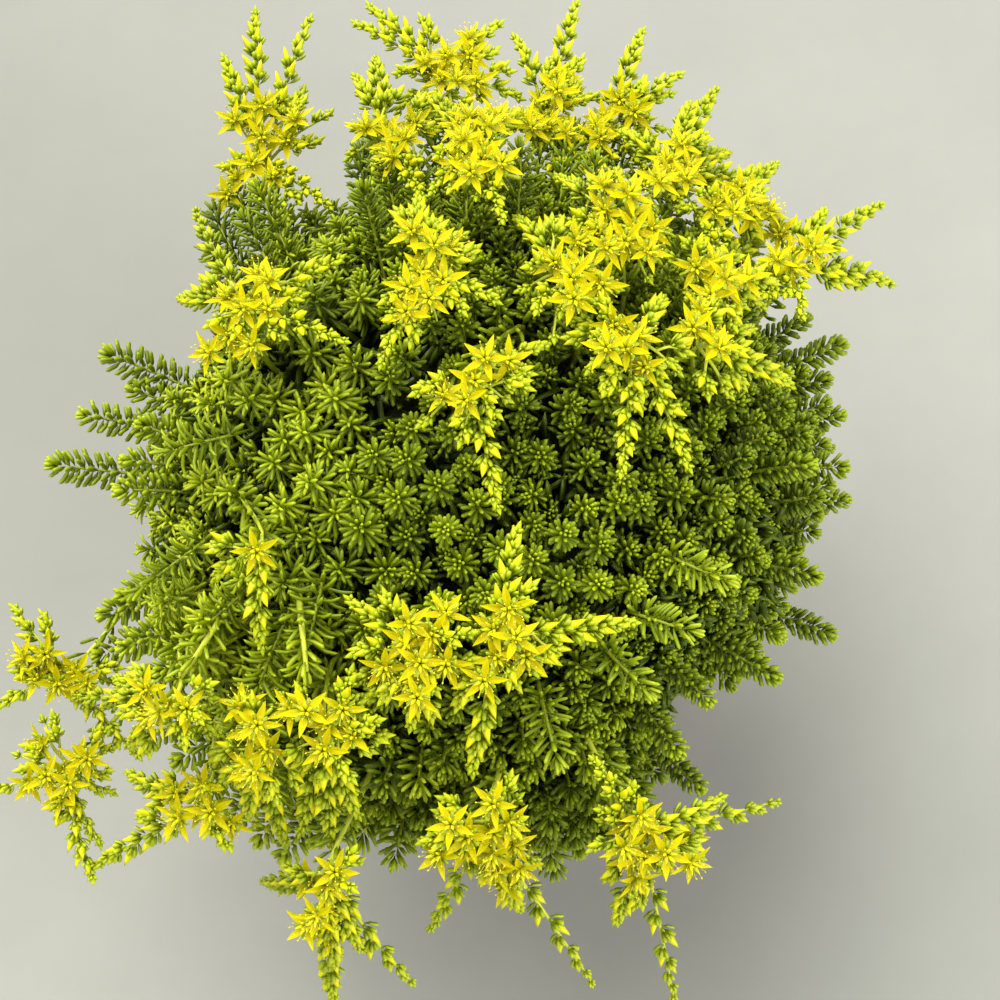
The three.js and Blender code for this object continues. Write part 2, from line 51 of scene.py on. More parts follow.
# %% [markdown]
# ## The view and the cushion's outline
#
# The plant is looked at from 65 degrees above the front, close enough for some perspective. Plants are drawn
# here in millimetres, as a gardener measures them, and turned to metres when a mesh is made. The cushion's
# outline is half an ellipsoid, and any point on it can be named by where the camera sees it, which is how the
# sprays are laid out.

# %% The outline and the view
MM = 0.001
CENTRE = Vector((0, 0, 88))
DOME_RADIUS = 73
DOME_RISE = 57
VIEW_ELEVATION = math.radians(65)
VIEW_DISTANCE = 450
VIEW_WIDTH = 200
AIM_ACROSS = 4
AIM_UP = 2
ACROSS = Vector((1, 0, 0))
TOWARD = Vector((0, -math.cos(VIEW_ELEVATION), math.sin(VIEW_ELEVATION)))
UPWARD = TOWARD.cross(ACROSS)


def over_cushion(across, up, lift):
    """The point seen at (across, up), lifted off the outline. Beyond its edge it keeps the edge's depth."""
    wide, high = (DOME_RADIUS + lift) ** 2, (DOME_RISE + lift) ** 2

    def flat(v, w):
        return (v.x * w.x + v.y * w.y) / wide + v.z * w.z / high

    near = 0
    for _ in range(3):  # what is nearer looks larger, so each pass starts from the depth found before
        shrink = (VIEW_DISTANCE - near) / VIEW_DISTANCE
        point = ACROSS * (across * shrink) + UPWARD * (up * shrink)
        a, b, c = flat(TOWARD, TOWARD), 2 * flat(point, TOWARD), flat(point, point) - 1
        near = (-b + math.sqrt(max(0, b * b - 4 * a * c))) / (2 * a)
    return point + TOWARD * near + CENTRE


def seen_at(point):
    """Where the camera sees a point, in millimetres across and up from the cushion's centre."""
    arm = point - CENTRE
    scale = VIEW_DISTANCE / (VIEW_DISTANCE - arm.dot(TOWARD))
    return arm.dot(ACROSS) * scale, arm.dot(UPWARD) * scale


def outward(point):
    """The direction straight out of the cushion at a point."""
    arm = point - CENTRE
    return Vector((arm.x / DOME_RADIUS**2, arm.y / DOME_RADIUS**2, arm.z / DOME_RISE**2)).normalized()


def square_to(heading, hint):
    """The direction nearest a hint that is square to a heading."""
    return (hint - heading * hint.dot(heading)).normalized()


# %% Place the camera
aim = CENTRE + ACROSS * AIM_ACROSS + UPWARD * AIM_UP
bpy.ops.object.camera_add(location=(aim + TOWARD * VIEW_DISTANCE) * MM)
camera = bpy.context.object
camera.name = "camera"
camera.rotation_euler = Matrix((ACROSS, UPWARD, TOWARD)).transposed().to_euler()
camera.data.angle = 2 * math.atan(VIEW_WIDTH / 2 / VIEW_DISTANCE)
camera.data.clip_start = 0.02
bpy.context.scene.camera = camera
print("camera", [round(x, 3) for x in camera.location])

# %% [markdown]
# ## Colour and finish
#
# Stonecrop leaves are waxy and let a little light through. They are deep green where they are old, and pale
# yellow-green at a shoot's tip. Part of the dark of the lower leaves is painted shade, and part of the
# paleness at each leaf's tip is a painted highlight. Each leaf copy stores how far along it a point is, how
# young it is and the tone of its shoot, and one shader group turns these into the place on a colour ramp.

# %% Small helpers for node trees
def new_node(tree, kind, **settings):
    node = tree.nodes.new(kind)
    for key, value in settings.items():
        setattr(node, key, value)
    return node


def make_group(name, inputs, outputs):
    """An empty shader group with named number sockets: inputs maps each name to its default."""
    tree = bpy.data.node_groups.new(name, "ShaderNodeTree")
    for key, default in inputs.items():
        socket = tree.interface.new_socket(name=key, in_out="INPUT", socket_type="NodeSocketFloat")
        socket.default_value = default
    for key in outputs:
        tree.interface.new_socket(name=key, in_out="OUTPUT", socket_type="NodeSocketFloat")
    return tree, new_node(tree, "NodeGroupInput"), new_node(tree, "NodeGroupOutput")


def maths(tree, operation, *values):
    """A Math node whose inputs are sockets or plain numbers."""
    node = new_node(tree, "ShaderNodeMath", operation=operation)
    for socket, value in zip(node.inputs, values):
        if isinstance(value, (int, float)):
            socket.default_value = value
        else:
            tree.links.new(value, socket)
    return node.outputs[0]


# %% [markdown]
# The growth group reads the stored values of a copy. A fine noise breaks up each surface, so that no two
# leaves are quite alike, and the same noise gives the height for a soft bump.

# %% The growth group
MOTTLE_SCALE = 900


def growth_group():
    inputs = {f"{name} Weight": 0 for name in ("Along", "Young", "Tone", "Mottle")}
    inputs |= {"Base": 0, "Mottle Scale": MOTTLE_SCALE}
    tree, source, sink = make_group("growth", inputs, ("Place", "Mottle"))
    place = new_node(tree, "ShaderNodeTexCoord")
    noise = new_node(tree, "ShaderNodeTexNoise")
    noise.inputs["Detail"].default_value = 3
    tree.links.new(place.outputs["Object"], noise.inputs["Vector"])
    tree.links.new(source.outputs["Mottle Scale"], noise.inputs["Scale"])
    total = source.outputs["Base"]
    for name in ("along", "young", "tone"):
        stored = new_node(tree, "ShaderNodeAttribute", attribute_name=name)
        weighed = maths(tree, "MULTIPLY", stored.outputs["Fac"], source.outputs[f"{name.title()} Weight"])
        total = maths(tree, "ADD", total, weighed)
    centred = maths(tree, "SUBTRACT", noise.outputs["Fac"], 0.5)
    mottled = maths(tree, "MULTIPLY", centred, source.outputs["Mottle Weight"])
    tree.links.new(maths(tree, "ADD", total, mottled), sink.inputs["Place"])
    tree.links.new(noise.outputs["Fac"], sink.inputs["Mottle"])
    return tree


GROWTH = growth_group()


# %% [markdown]
# Every living surface is then the same small tree: growth places a point on the part's own colour ramp, and
# the mottle gives a slight bump and a slightly uneven gloss. Light that passes through the tissue is a plain
# number on the shader. The ramp and the bump are helpers of their own, because the pot and soil use them too.

# %% Living materials
RELIEF_HEIGHT = 0.0002
TISSUE_COLOUR = (0.5, 0.9, 0.15)
TISSUE_REACH = 0.0008


def new_material(name):
    material = bpy.data.materials.new(name)
    material.use_nodes = True
    return material, material.node_tree, material.node_tree.nodes["Principled BSDF"]


def colour_by_ramp(tree, shader, value, ramp):
    """Colours a surface by where a value falls on a ramp, which is a list of (place, linear colour)."""
    colours = new_node(tree, "ShaderNodeValToRGB")
    stops = colours.color_ramp.elements
    stops[0].position, stops[-1].position = ramp[0][0], ramp[-1][0]
    for place, _ in ramp[1:-1]:
        stops.new(place)
    for stop, (_, colour) in zip(stops, ramp):
        stop.color = (*colour, 1)
    tree.links.new(value, colours.inputs["Fac"])
    tree.links.new(colours.outputs["Color"], shader.inputs["Base Color"])


def add_relief(tree, shader, height, strength, distance):
    relief = new_node(tree, "ShaderNodeBump")
    relief.inputs["Strength"].default_value = strength
    relief.inputs["Distance"].default_value = distance
    tree.links.new(height, relief.inputs["Height"])
    tree.links.new(relief.outputs["Normal"], shader.inputs["Normal"])


def living_material(name, ramp, weights, roughness, bump, glow, gloss_level=0.3):
    """weights are inputs of the growth group, 0 where none is given; glow is the light let through."""
    material, tree, shader = new_material(name)
    growth = new_node(tree, "ShaderNodeGroup", node_tree=GROWTH)
    for key, value in weights.items():
        growth.inputs[key].default_value = value
    colour_by_ramp(tree, shader, growth.outputs["Place"], ramp)
    gloss = maths(tree, "MULTIPLY_ADD", growth.outputs["Mottle"], 0.2, roughness - 0.1)
    tree.links.new(gloss, shader.inputs["Roughness"])
    add_relief(tree, shader, growth.outputs["Mottle"], bump, RELIEF_HEIGHT)
    shader.inputs["Specular IOR Level"].default_value = gloss_level
    shader.inputs["Subsurface Weight"].default_value = glow
    shader.inputs["Subsurface Radius"].default_value = TISSUE_COLOUR
    shader.inputs["Subsurface Scale"].default_value = TISSUE_REACH
    return material


# %% [markdown]
# Leaf, stem, petal, stamen, carpel and bud each have a ramp of linear colours from the darkest to the palest.
# The weights say what moves a point along it: on a leaf its place, its age and its shoot's tone, on a stem
# the tone alone, on a stamen only how far out it is, and a young bud is greener than an old one.

# %% The six living finishes
# The leaf ramp starts near black, which is painted shade for leaves deep in the cushion, and its palest stop
# is partly a painted highlight on the tips.
LEAF = living_material(
    "stonecrop_leaf",
    [
        (0.0, (0.013, 0.026, 0.001)),
        (0.35, (0.096, 0.14, 0.002)),
        (0.7, (0.28, 0.36, 0.004)),
        (1.0, (0.53, 0.61, 0.018)),
    ],
    {"Base": 0.04, "Along Weight": 0.34, "Young Weight": 0.26, "Tone Weight": 0.5, "Mottle Weight": 0.2},
    roughness=0.38,
    bump=0.15,
    glow=0.2,
)
STEM = living_material(
    "stonecrop_stem",
    [
        (0.0, (0.1, 0.035, 0.015)),
        (0.3, (0.16, 0.1, 0.02)),
        (0.6, (0.25, 0.31, 0.01)),
        (1.0, (0.6, 0.66, 0.05)),
    ],
    {"Tone Weight": 1.0, "Mottle Weight": 0.3},
    roughness=0.5,
    bump=0.2,
    glow=0.1,
)
PETAL = living_material(
    "stonecrop_petal",
    [
        (0.0, (0.51, 0.48, 0.001)),
        (0.25, (0.62, 0.54, 0.0)),
        (0.5, (0.69, 0.62, 0.0)),
        (1.0, (0.76, 0.7, 0.0)),
    ],
    {"Base": 0.1, "Along Weight": 0.6, "Tone Weight": 0.4, "Mottle Weight": 0.25},
    roughness=0.6,
    bump=0.2,
    glow=0.25,
    gloss_level=0.12,
)
ANTHER = living_material(
    "stonecrop_stamen",
    [(0.0, (0.8, 0.8, 0.12)), (0.7, (0.85, 0.84, 0.1)), (0.85, (0.84, 0.7, 0.02)), (1.0, (0.86, 0.76, 0.05))],
    {"Along Weight": 1.0, "Mottle Weight": 0.05},
    roughness=0.6,
    bump=0.1,
    glow=0.15,
)
CARPEL = living_material(
    "stonecrop_carpel",
    [(0.0, (0.6, 0.64, 0.01)), (0.6, (0.8, 0.76, 0.01)), (1.0, (0.88, 0.8, 0.01))],
    {"Along Weight": 0.9, "Tone Weight": 0.2, "Mottle Weight": 0.1},
    roughness=0.45,
    bump=0.1,
    glow=0.2,
)
BUD = living_material(
    "stonecrop_bud",
    [
        (0.0, (0.28, 0.39, 0.004)),
        (0.35, (0.48, 0.57, 0.006)),
        (0.7, (0.72, 0.69, 0.002)),
        (1.0, (0.86, 0.77, 0.001)),
    ],
    {"Base": 0.3, "Along Weight": 0.65, "Young Weight": -0.45, "Tone Weight": 0.3, "Mottle Weight": 0.15},
    roughness=0.4,
    bump=0.1,
    glow=0.2,
)
PALETTE = [LEAF, STEM, PETAL, ANTHER, CARPEL, BUD]
print("living materials:", len(PALETTE))

# %% [markdown]
# ## One of everything
#
# A leaf, a bud, a stamen and a carpel are all narrow round forms. Each starts as a sphere with a few rings,
# and every ring is then selected, scaled and slid along in edit mode, the way it would be done by hand with S
# and G. They repeat thousands of times, so each has only a few dozen faces.

# %% Shape a sphere ring by ring
def start_piece(name):
    piece = bpy.context.object
    piece.name = name
    piece.data.name = name
    return piece


def select_only(piece):
    bpy.ops.object.select_all(action="DESELECT")
    piece.select_set(True)
    bpy.context.view_layer.objects.active = piece


def pick(piece, chosen):
    """Selects just these vertices of the mesh that is in edit mode."""
    mesh = bmesh.from_edit_mesh(piece.data)
    mesh.verts.ensure_lookup_table()
    for vertex in mesh.verts:
        vertex.select = vertex.index in chosen
    mesh.select_flush_mode()
    bmesh.update_edit_mesh(piece.data)


def store(piece, name, values):
    attribute = piece.data.attributes.get(name) or piece.data.attributes.new(name, "FLOAT", "POINT")
    attribute.data.foreach_set("value", np.asarray(values, np.float32))


def paint(piece, material):
    piece.data.materials.clear()
    piece.data.materials.append(material)


def ringed_model(name, sides, rings, ends, material, brightening=1):
    """A closed round form: rings are (height, width, depth, offset) from the bottom up, and ends are the
    heights and offsets of the two poles. A higher brightening keeps the pale colour nearer the tip."""
    bpy.ops.mesh.primitive_uv_sphere_add(segments=sides, ring_count=len(rings) + 1, radius=1)
    piece = start_piece(name)
    heights = [-math.cos(math.pi * k / (len(rings) + 1)) for k in range(len(rings) + 2)]
    groups = [{v.index for v in piece.data.vertices if abs(v.co.z - h) < 1e-4} for h in heights]
    (low, low_offset), (high, high_offset) = ends
    stations = [(low, 1, 1, low_offset), *rings, (high, 1, 1, high_offset)]
    bpy.ops.object.mode_set(mode="EDIT")
    for group, height, (z, width, depth, offset) in zip(groups, heights, stations):
        pick(piece, group)
        if len(group) > 1:
            round_off = 2 * math.sqrt(1 - height * height)
            bpy.ops.transform.resize(value=(width / round_off, depth / round_off, 1))
        bpy.ops.transform.translate(value=(0, offset, z - height))
    bpy.ops.object.mode_set(mode="OBJECT")
    store(piece, "along", [max(0, (v.co.z - low) / (high - low)) ** brightening for v in piece.data.vertices])
    paint(piece, material)
    piece.data.shade_smooth()
    return piece


# %% [markdown]
# A leaf of this stonecrop is a short cylinder with a blunt tip that curves up a little and is paler than the
# rest, partly its own colour and partly a painted highlight. The model is one unit long and one wide, so each
# copy sets its own length and thickness. Leaves of the loose shoots at the left arch outward. Leaves in the
# shade and round a flower have three sides, which saves faces where nobody can count them, and withered ones
# are plain spindles.

# %% The leaf, the bud and the parts of the flower
# How near the tip the leaf turns pale; that paleness is partly a painted highlight.
TIP_BRIGHTENING = 1.7
LEAF_ENDS = [(-0.03, 0), (1.0, 0.22)]
leaf_rings = [(0.42, 1.12, 0.95, -0.12), (0.88, 1.03, 0.9, 0.1)]
leaf_model = ringed_model("leaf_model", 4, leaf_rings, LEAF_ENDS, LEAF, TIP_BRIGHTENING)
arched_rings = [(0.22, 1.05, 0.95, 0.3), (0.62, 1.12, 0.95, 0.25), (0.9, 0.88, 0.78, -0.45)]
arched_leaf = ringed_model("arched_leaf", 4, arched_rings, [(-0.03, 0), (0.99, -1.0)], LEAF, TIP_BRIGHTENING)
small_rings = [(0.42, 1.2, 1.1, -0.1), (0.88, 1.1, 1.0, 0.1)]
small_leaf = ringed_model("small_leaf", 3, small_rings, LEAF_ENDS, LEAF, TIP_BRIGHTENING)
dead_leaf = ringed_model("dead_leaf", 3, [(0.5, 1.2, 1.0, 0.3)], [(0, 0), (1.0, -0.2)], LEAF)
bud_rings = [(0.55, 1.3, 1.3, 0), (1.7, 1.62, 1.62, 0), (3.0, 0.85, 0.85, 0)]
bud_model = ringed_model("bud_model", 5, bud_rings, [(0, 0), (4.1, 0)], BUD)
stamen_rings = [(0.1, 0.2, 0.2, 0), (2.95, 0.15, 0.15, 0), (3.2, 0.45, 0.45, 0)]
stamen_model = ringed_model("stamen_model", 3, stamen_rings, [(0, 0), (3.5, 0)], ANTHER)
carpel_rings = [(0.2, 0.65, 0.55, 0), (1.1, 0.92, 0.78, 0), (2.0, 0.44, 0.44, 0.15)]
carpel_model = ringed_model("carpel_model", 4, carpel_rings, [(0, 0), (2.7, 0.35)], CARPEL)
print("leaf faces:", len(leaf_model.data.polygons), "bud faces:", len(bud_model.data.polygons))

# %% [markdown]
# A petal is a narrow pointed blade folded along its middle, widest near a third of its length. It starts as a
# grid three points wide. Each row is drawn to its width and height, and the middle line is pressed down to
# make the fold. A flipped copy with its middle pressed lower still closes the blade from below, so it is
# thick along its keel and thin at its edges. It isn't shaded smooth, because the crease has to catch light.

# %% The petal
PETAL_ROWS = [
    (0.3, 0.34, 0.05), (1.2, 0.6, 0.1), (2.0, 0.72, 0.17),
    (2.9, 0.62, 0.26), (3.9, 0.34, 0.34), (4.8, 0.03, 0.38),
]
PETAL_FOLD = 0.34
PETAL_THICKNESS = 0.16
CREASE_SHADE = 0.35


def model_petal():
    bpy.ops.mesh.primitive_grid_add(x_subdivisions=2, y_subdivisions=len(PETAL_ROWS) - 1, size=2)
    piece = start_piece("petal_model")
    rows = sorted({round(v.co.y, 4) for v in piece.data.vertices})
    groups = [{v.index for v in piece.data.vertices if abs(v.co.y - y) < 1e-3} for y in rows]
    middle = {v.index for v in piece.data.vertices if abs(v.co.x) < 1e-3}
    bpy.ops.object.mode_set(mode="EDIT")
    for group, y, (far, half, height) in zip(groups, rows, PETAL_ROWS):
        pick(piece, group)
        bpy.ops.transform.resize(value=(half, 1, 1))
        bpy.ops.transform.translate(value=(0, far - y, height))
        pick(piece, group & middle)
        bpy.ops.transform.translate(value=(0, 0, -PETAL_FOLD * half))
    bpy.ops.mesh.select_all(action="SELECT")
    bpy.ops.mesh.duplicate()
    bpy.ops.mesh.flip_normals()
    keel = {v.index for v in bmesh.from_edit_mesh(piece.data).verts if v.select and abs(v.co.x) < 1e-3}
    pick(piece, keel)
    bpy.ops.transform.translate(value=(0, 0, -PETAL_THICKNESS))
    bpy.ops.mesh.select_all(action="SELECT")
    bpy.ops.mesh.remove_doubles(threshold=1e-4)
    bpy.ops.mesh.fill_holes(sides=4)
    bpy.ops.mesh.normals_make_consistent(inside=False)
    bpy.ops.object.mode_set(mode="OBJECT")
    length = PETAL_ROWS[-1][0]
    shades = [CREASE_SHADE if abs(v.co.x) < 0.02 else 0 for v in piece.data.vertices]
    store(piece, "along", [v.co.y / length - shade for v, shade in zip(piece.data.vertices, shades)])
    paint(piece, PETAL)
    return piece


petal_model = model_petal()
print("petal faces:", len(petal_model.data.polygons))

# %% [markdown]
# ## Copying by the thousand
#
# A cushion this size has more than twenty thousand leaves. Duplicating objects one by one would take minutes,
# so a model's vertices are multiplied by all its places at once and written into one new mesh. Each copy has
# its own vertices, faces stay as smooth or as sharp as the model's, and the stored growth values of the copy
# are added to those of the model.

# %% Read a model and write its copies
GROWTH_VALUES = ("along", "young", "tone")


def read(items, key, kind, width=1):
    """One value of every point, corner or face of a mesh, as an array."""
    values = np.empty(len(items) * width, kind)
    items.foreach_get(key, values)
    return values


def model_arrays(piece):
    mesh = piece.data
    points = read(mesh.vertices, "co", np.float32, 3).reshape(-1, 3)
    corners = read(mesh.loops, "vertex_index", np.int32)
    starts = read(mesh.polygons, "loop_start", np.int32)
    used = np.array([PALETTE.index(material) for material in mesh.materials], np.int32)
    colours = used[read(mesh.polygons, "material_index", np.int32)]
    smooth = read(mesh.polygons, "use_smooth", bool)
    values = {}
    for name in GROWTH_VALUES:
        stored = mesh.attributes.get(name)
        values[name] = read(stored.data, "value", np.float32) if stored else np.zeros(len(points), np.float32)
    return points, corners, starts, colours, smooth, values


def copies(name, batches, scale=1.0):
    """One mesh object of every model at all its places. A batch is (model, places, values): places are 4 by 4
    matrices, and values the growth that each copy adds."""
    parts = []
    points_before, corners_before = 0, 0
    for model, places, added in batches:
        points, corners, starts, colours, smooth, values = model_arrays(model)
        places = np.asarray(places, np.float32).reshape(-1, 4, 4)
        count = len(places)
        if not count:
            continue
        moved = np.einsum("nij,vj->nvi", places[:, :3, :3], points) + places[:, None, :3, 3]
        shift = np.arange(count, dtype=np.int32)[:, None]
        grown = {}
        for key in GROWTH_VALUES:
            extra = np.broadcast_to(np.asarray(added.get(key, 0.0), np.float32), count)
            grown[key] = (values[key][None, :] + extra[:, None]).ravel()
        parts.append((
            moved.reshape(-1, 3) * scale,
            (corners[None, :] + shift * len(points)).ravel() + points_before,
            (starts[None, :] + shift * len(corners)).ravel() + corners_before,
            np.tile(colours, count),
            np.tile(smooth, count),
            grown,
        ))
        points_before += count * len(points)
        corners_before += count * len(corners)
    mesh = bpy.data.meshes.new(name)
    points, corners, starts, colours, smooth = (np.concatenate([part[k] for part in parts]) for k in range(5))
    mesh.vertices.add(len(points))
    mesh.vertices.foreach_set("co", points.ravel())
    mesh.loops.add(len(corners))
    mesh.loops.foreach_set("vertex_index", corners)
    mesh.polygons.add(len(starts))
    mesh.polygons.foreach_set("loop_start", starts)
    mesh.update(calc_edges=True)
    used = sorted(set(colours.tolist()))
    for index in used:
        mesh.materials.append(PALETTE[index])
    piece = bpy.data.objects.new(name, mesh)
    bpy.context.scene.collection.objects.link(piece)
    mesh.polygons.foreach_set("material_index", np.searchsorted(used, colours).astype(np.int32))
    for key in GROWTH_VALUES:
        store(piece, key, np.concatenate([part[5][key] for part in parts]))
    mesh.polygons.foreach_set("use_smooth", smooth)
    return piece


# %% [markdown]
# The place of a copy is a frame: its own length runs along one direction, and its upper side faces another.
# For leaves round a stem, that frame follows from the stem's heading, the angle round it and how far the leaf
# leans out.

# %% Frames for copies
def place_along(at, direction, upper, width, length):
    """The 4 by 4 place of a copy whose length runs along a direction and whose upper side faces upper."""
    z = direction.normalized()
    y = square_to(z, upper)
    x = y.cross(z)
    rows = [(x[k] * width, y[k] * width, z[k] * length, at[k]) for k in range(3)]
    return (*rows, (0, 0, 0, 1))


def normalised(array):
    return array / np.linalg.norm(array, axis=-1, keepdims=True)


def leaf_places(centres, headings, firsts, angles, leans, reach, widths, lengths):
    """Places of leaves round stems, from arrays of equal length: lean is the angle between leaf and stem."""
    headings = normalised(headings)
    firsts = normalised(firsts - headings * (headings * firsts).sum(1, keepdims=True))
    seconds = np.cross(headings, firsts)
    sides = firsts * np.cos(angles)[:, None] + seconds * np.sin(angles)[:, None]
    z = headings * np.cos(leans)[:, None] + sides * np.sin(leans)[:, None]
    y = headings * np.sin(leans)[:, None] - sides * np.cos(leans)[:, None]
    x = np.cross(y, z)
    places = np.zeros((len(centres), 4, 4))
    places[:, :3, 0] = x * widths[:, None]
    places[:, :3, 1] = y * widths[:, None]
    places[:, :3, 2] = z * lengths[:, None]
    places[:, :3, 3] = centres + sides * reach[:, None]
    places[:, 3, 3] = 1
    return places


# %% [markdown]
# ## The open flower
#
# An open flower has five petals, five short sepals under the gaps between them, ten stamens as fine threads
# with a round anther, and five pointed carpels that stand together in the middle. A bud is a pointed drop
# that five sepals clasp. The sepals, and the short stalk under each, are the small leaf at another size.

# %% Put the flower together
def turned_about_z(angle, lean, at):
    """A copy turned about the flower's axis, after leaning out by an angle."""
    turn = Matrix.Rotation(angle, 4, "Z") @ Matrix.Translation(at) @ Matrix.Rotation(-lean, 4, "X")
    return np.array(turn)


def flower_places(count, lean, out, height, turn=0.0, width=1.0, length=1.0):
    size = np.diag([width, width, length, 1])
    step = 2 * math.pi / count
    return [turned_about_z(turn + k * step, lean, (0, out, height)) @ size for k in range(count)]


between = math.pi / 5
flower_model = copies("flower_model", [
    (petal_model, flower_places(5, math.radians(-4), 0.0, 0.35), {}),
    (small_leaf, flower_places(5, math.radians(72), 0.3, 0.0, between, 0.75, 2.3), {"tone": 1.05}),
    (stamen_model, flower_places(5, math.radians(42), 0.25, 0.4, between), {}),
    (stamen_model, flower_places(5, math.radians(30), 0.25, 0.4, 0.1, 1.0, 0.92), {}),
    (carpel_model, flower_places(5, math.radians(16), 0.35, 0.3, between + 0.1), {}),
    (small_leaf, flower_places(1, 0, 0, -2.0, 0, 0.7, 2.5), {"tone": 1.1}),
])
budding_model = copies("budding_model", [
    (bud_model, flower_places(1, 0, 0, 0.6), {}),
    (small_leaf, flower_places(5, math.radians(16), 0.5, 0.4, 0.3, 0.85, 2.1), {"tone": 1.15}),
    (small_leaf, flower_places(1, 0, 0, -0.6, 0, 0.6, 1.5), {"tone": 1.2}),
])
print("flower faces:", len(flower_model.data.polygons), "bud faces:", len(budding_model.data.polygons))

# %% [markdown]
# ## Leafy shoots
#
# The cushion is a crowd of shoots that stand square to its surface, in loose groups with hollows between, and
# a few groups of young shoots are brighter. The hollows between groups and the sparser layer underneath are
# coloured darker as painted shade. On the left the shoots are longer, paler and looser and lie outward, on the
# right short, dark and tight, and at the front they spill over the edge. The paler left and the darker right
# are partly the shoots' own colour and partly painted light from the upper left. Leaves sit in whorls of
# three, each turned by a sixth of a circle, which gives the six rows of the plant's name, and they stand up at
# the tip and spread lower down.
#
# An even layer of shoots covers the dome, with a sparser one under it. The rest are placed one by one: long
# shoots at the edge, shoots that stand free, that rise at the back or that lie over the others, and two thick
# pale stems that trail toward their flowers.

# %% Where the shoots stand
SHOOTS = 900
UNDERSHOOTS = 640
UNDERSHOOT_DEPTH = 5
LOWEST_SHOOT = math.radians(116)
GOLDEN_ANGLE = math.pi * (3 - math.sqrt(5))
LONG_SHOOTS = [
    (-85, 9), (-79, 19), (-74, 31), (72, 33), (72, 19), (73, 2), (67, -13), (70, -25), (59, -33), (46, -38),
    (44, -55),
]
FREE_SHOOTS = [
    (-70, -27), (-63, -32), (-73, -38), (-67, -46), (-60, -50), (-55, -57), (-50, -62), (-44, -66),
    (-39, -69), (-33, -66), (-70, 10), (-67, 17), (-71, 4), (-69, 24), (-75, -21), (-76, -29), (-71, -17),
    (69, 26), (66, 9), (65, 38), (40, -48),
]
BACK_SHOOTS = [
    (-54, 54), (-47, 58), (-50, 64), (-44, 64), (-53, 60), (-23, 64), (-19, 70), (-24, 72), (-20, 76),
    (-13, 70), (-9, 80), (-2, 70), (3, 78), (8, 72), (12, 82), (19, 76), (23, 70), (30, 78), (33, 72),
    (40, 70), (47, 64), (54, 56), (60, 48),
]
LYING_SHOOTS = [
    ((-36, -16), (-45, -38)), ((-30, -10), (-35, -32)), ((-44, -14), (-58, -26)), ((-52, -4), (-68, -16)),
    ((-46, 16), (-62, 12)), ((30, -20), (43, -24)), ((24, -26), (34, -36)), ((12, -34), (16, -50)),
    ((36, -8), (50, -14)),
]
TRAILING_SHOOTS = [((-49, -18), (-59, -33)), ((-36, -14), (-34, -32))]
BRIGHT_SPOTS = [(-36, 23), (-72, 20), (-56, 20), (-64, 4), (34, -13), (-53, -26)]
BRIGHT_SPREAD = 30
THIN_PLACES = [
    ((-72, 12), (16, 26), 4), ((72, -16), (14, 18), 9), ((51, -48), (21, 19), 17), ((-64, 36), (10, 12), 9),
    ((54, -31), (10, 9), 8),
]
random = np.random.default_rng(7)


def ramp(value, low, high):
    share = min(max((value - low) / (high - low), 0), 1)
    return share * share * (3 - 2 * share)


def clump(point):
    """Shoots stand in loose groups: from -1 in a hollow to 1 in the middle of a group."""
    large = math.sin(point.x / 8.5 + 1.3) * math.sin(point.y / 7.5 + 0.4)
    return large + 0.6 * math.sin(point.z / 9 + point.x / 14)


def brightness(across, up):
    """Here and there a group of young shoots is paler than those around it."""
    reaches = [math.exp(-((across - a) ** 2 + (up - b) ** 2) / BRIGHT_SPREAD) for a, b in BRIGHT_SPOTS]
    return min(1, sum(reaches))


def drawn_in(across, up):
    """How far the foliage stays under the outline. A thin place has its middle, its spread and its depth."""
    return sum(
        depth * math.exp(-(((across - a) / wide) ** 2) - ((up - b) / high) ** 2)
        for (a, b), (wide, high), depth in THIN_PLACES
    )


def under_outline(point):
    """How far a point lies under the foliage's outline."""
    arm = point - CENTRE
    share = math.sqrt((arm.x**2 + arm.y**2) / DOME_RADIUS**2 + arm.z**2 / DOME_RISE**2)
    return arm.length * (1 / share - 1) - drawn_in(*seen_at(point))


def on_dome(radius, rise, down, around):
    """A point of a dome: down is its angle from the top, and around its turn about the axis."""
    ring = radius * math.sin(down)
    return Vector((ring * math.cos(around), ring * math.sin(around), rise * math.cos(down))) + CENTRE


# %% The even cover of shoots
def new_shoot(root, bend, tip, **growth):
    """A shoot is the bent line from its root to its tip, and how its leaves grow."""
    return {"root": root, "bend": bend, "tip": tip, "arched": False, **growth}


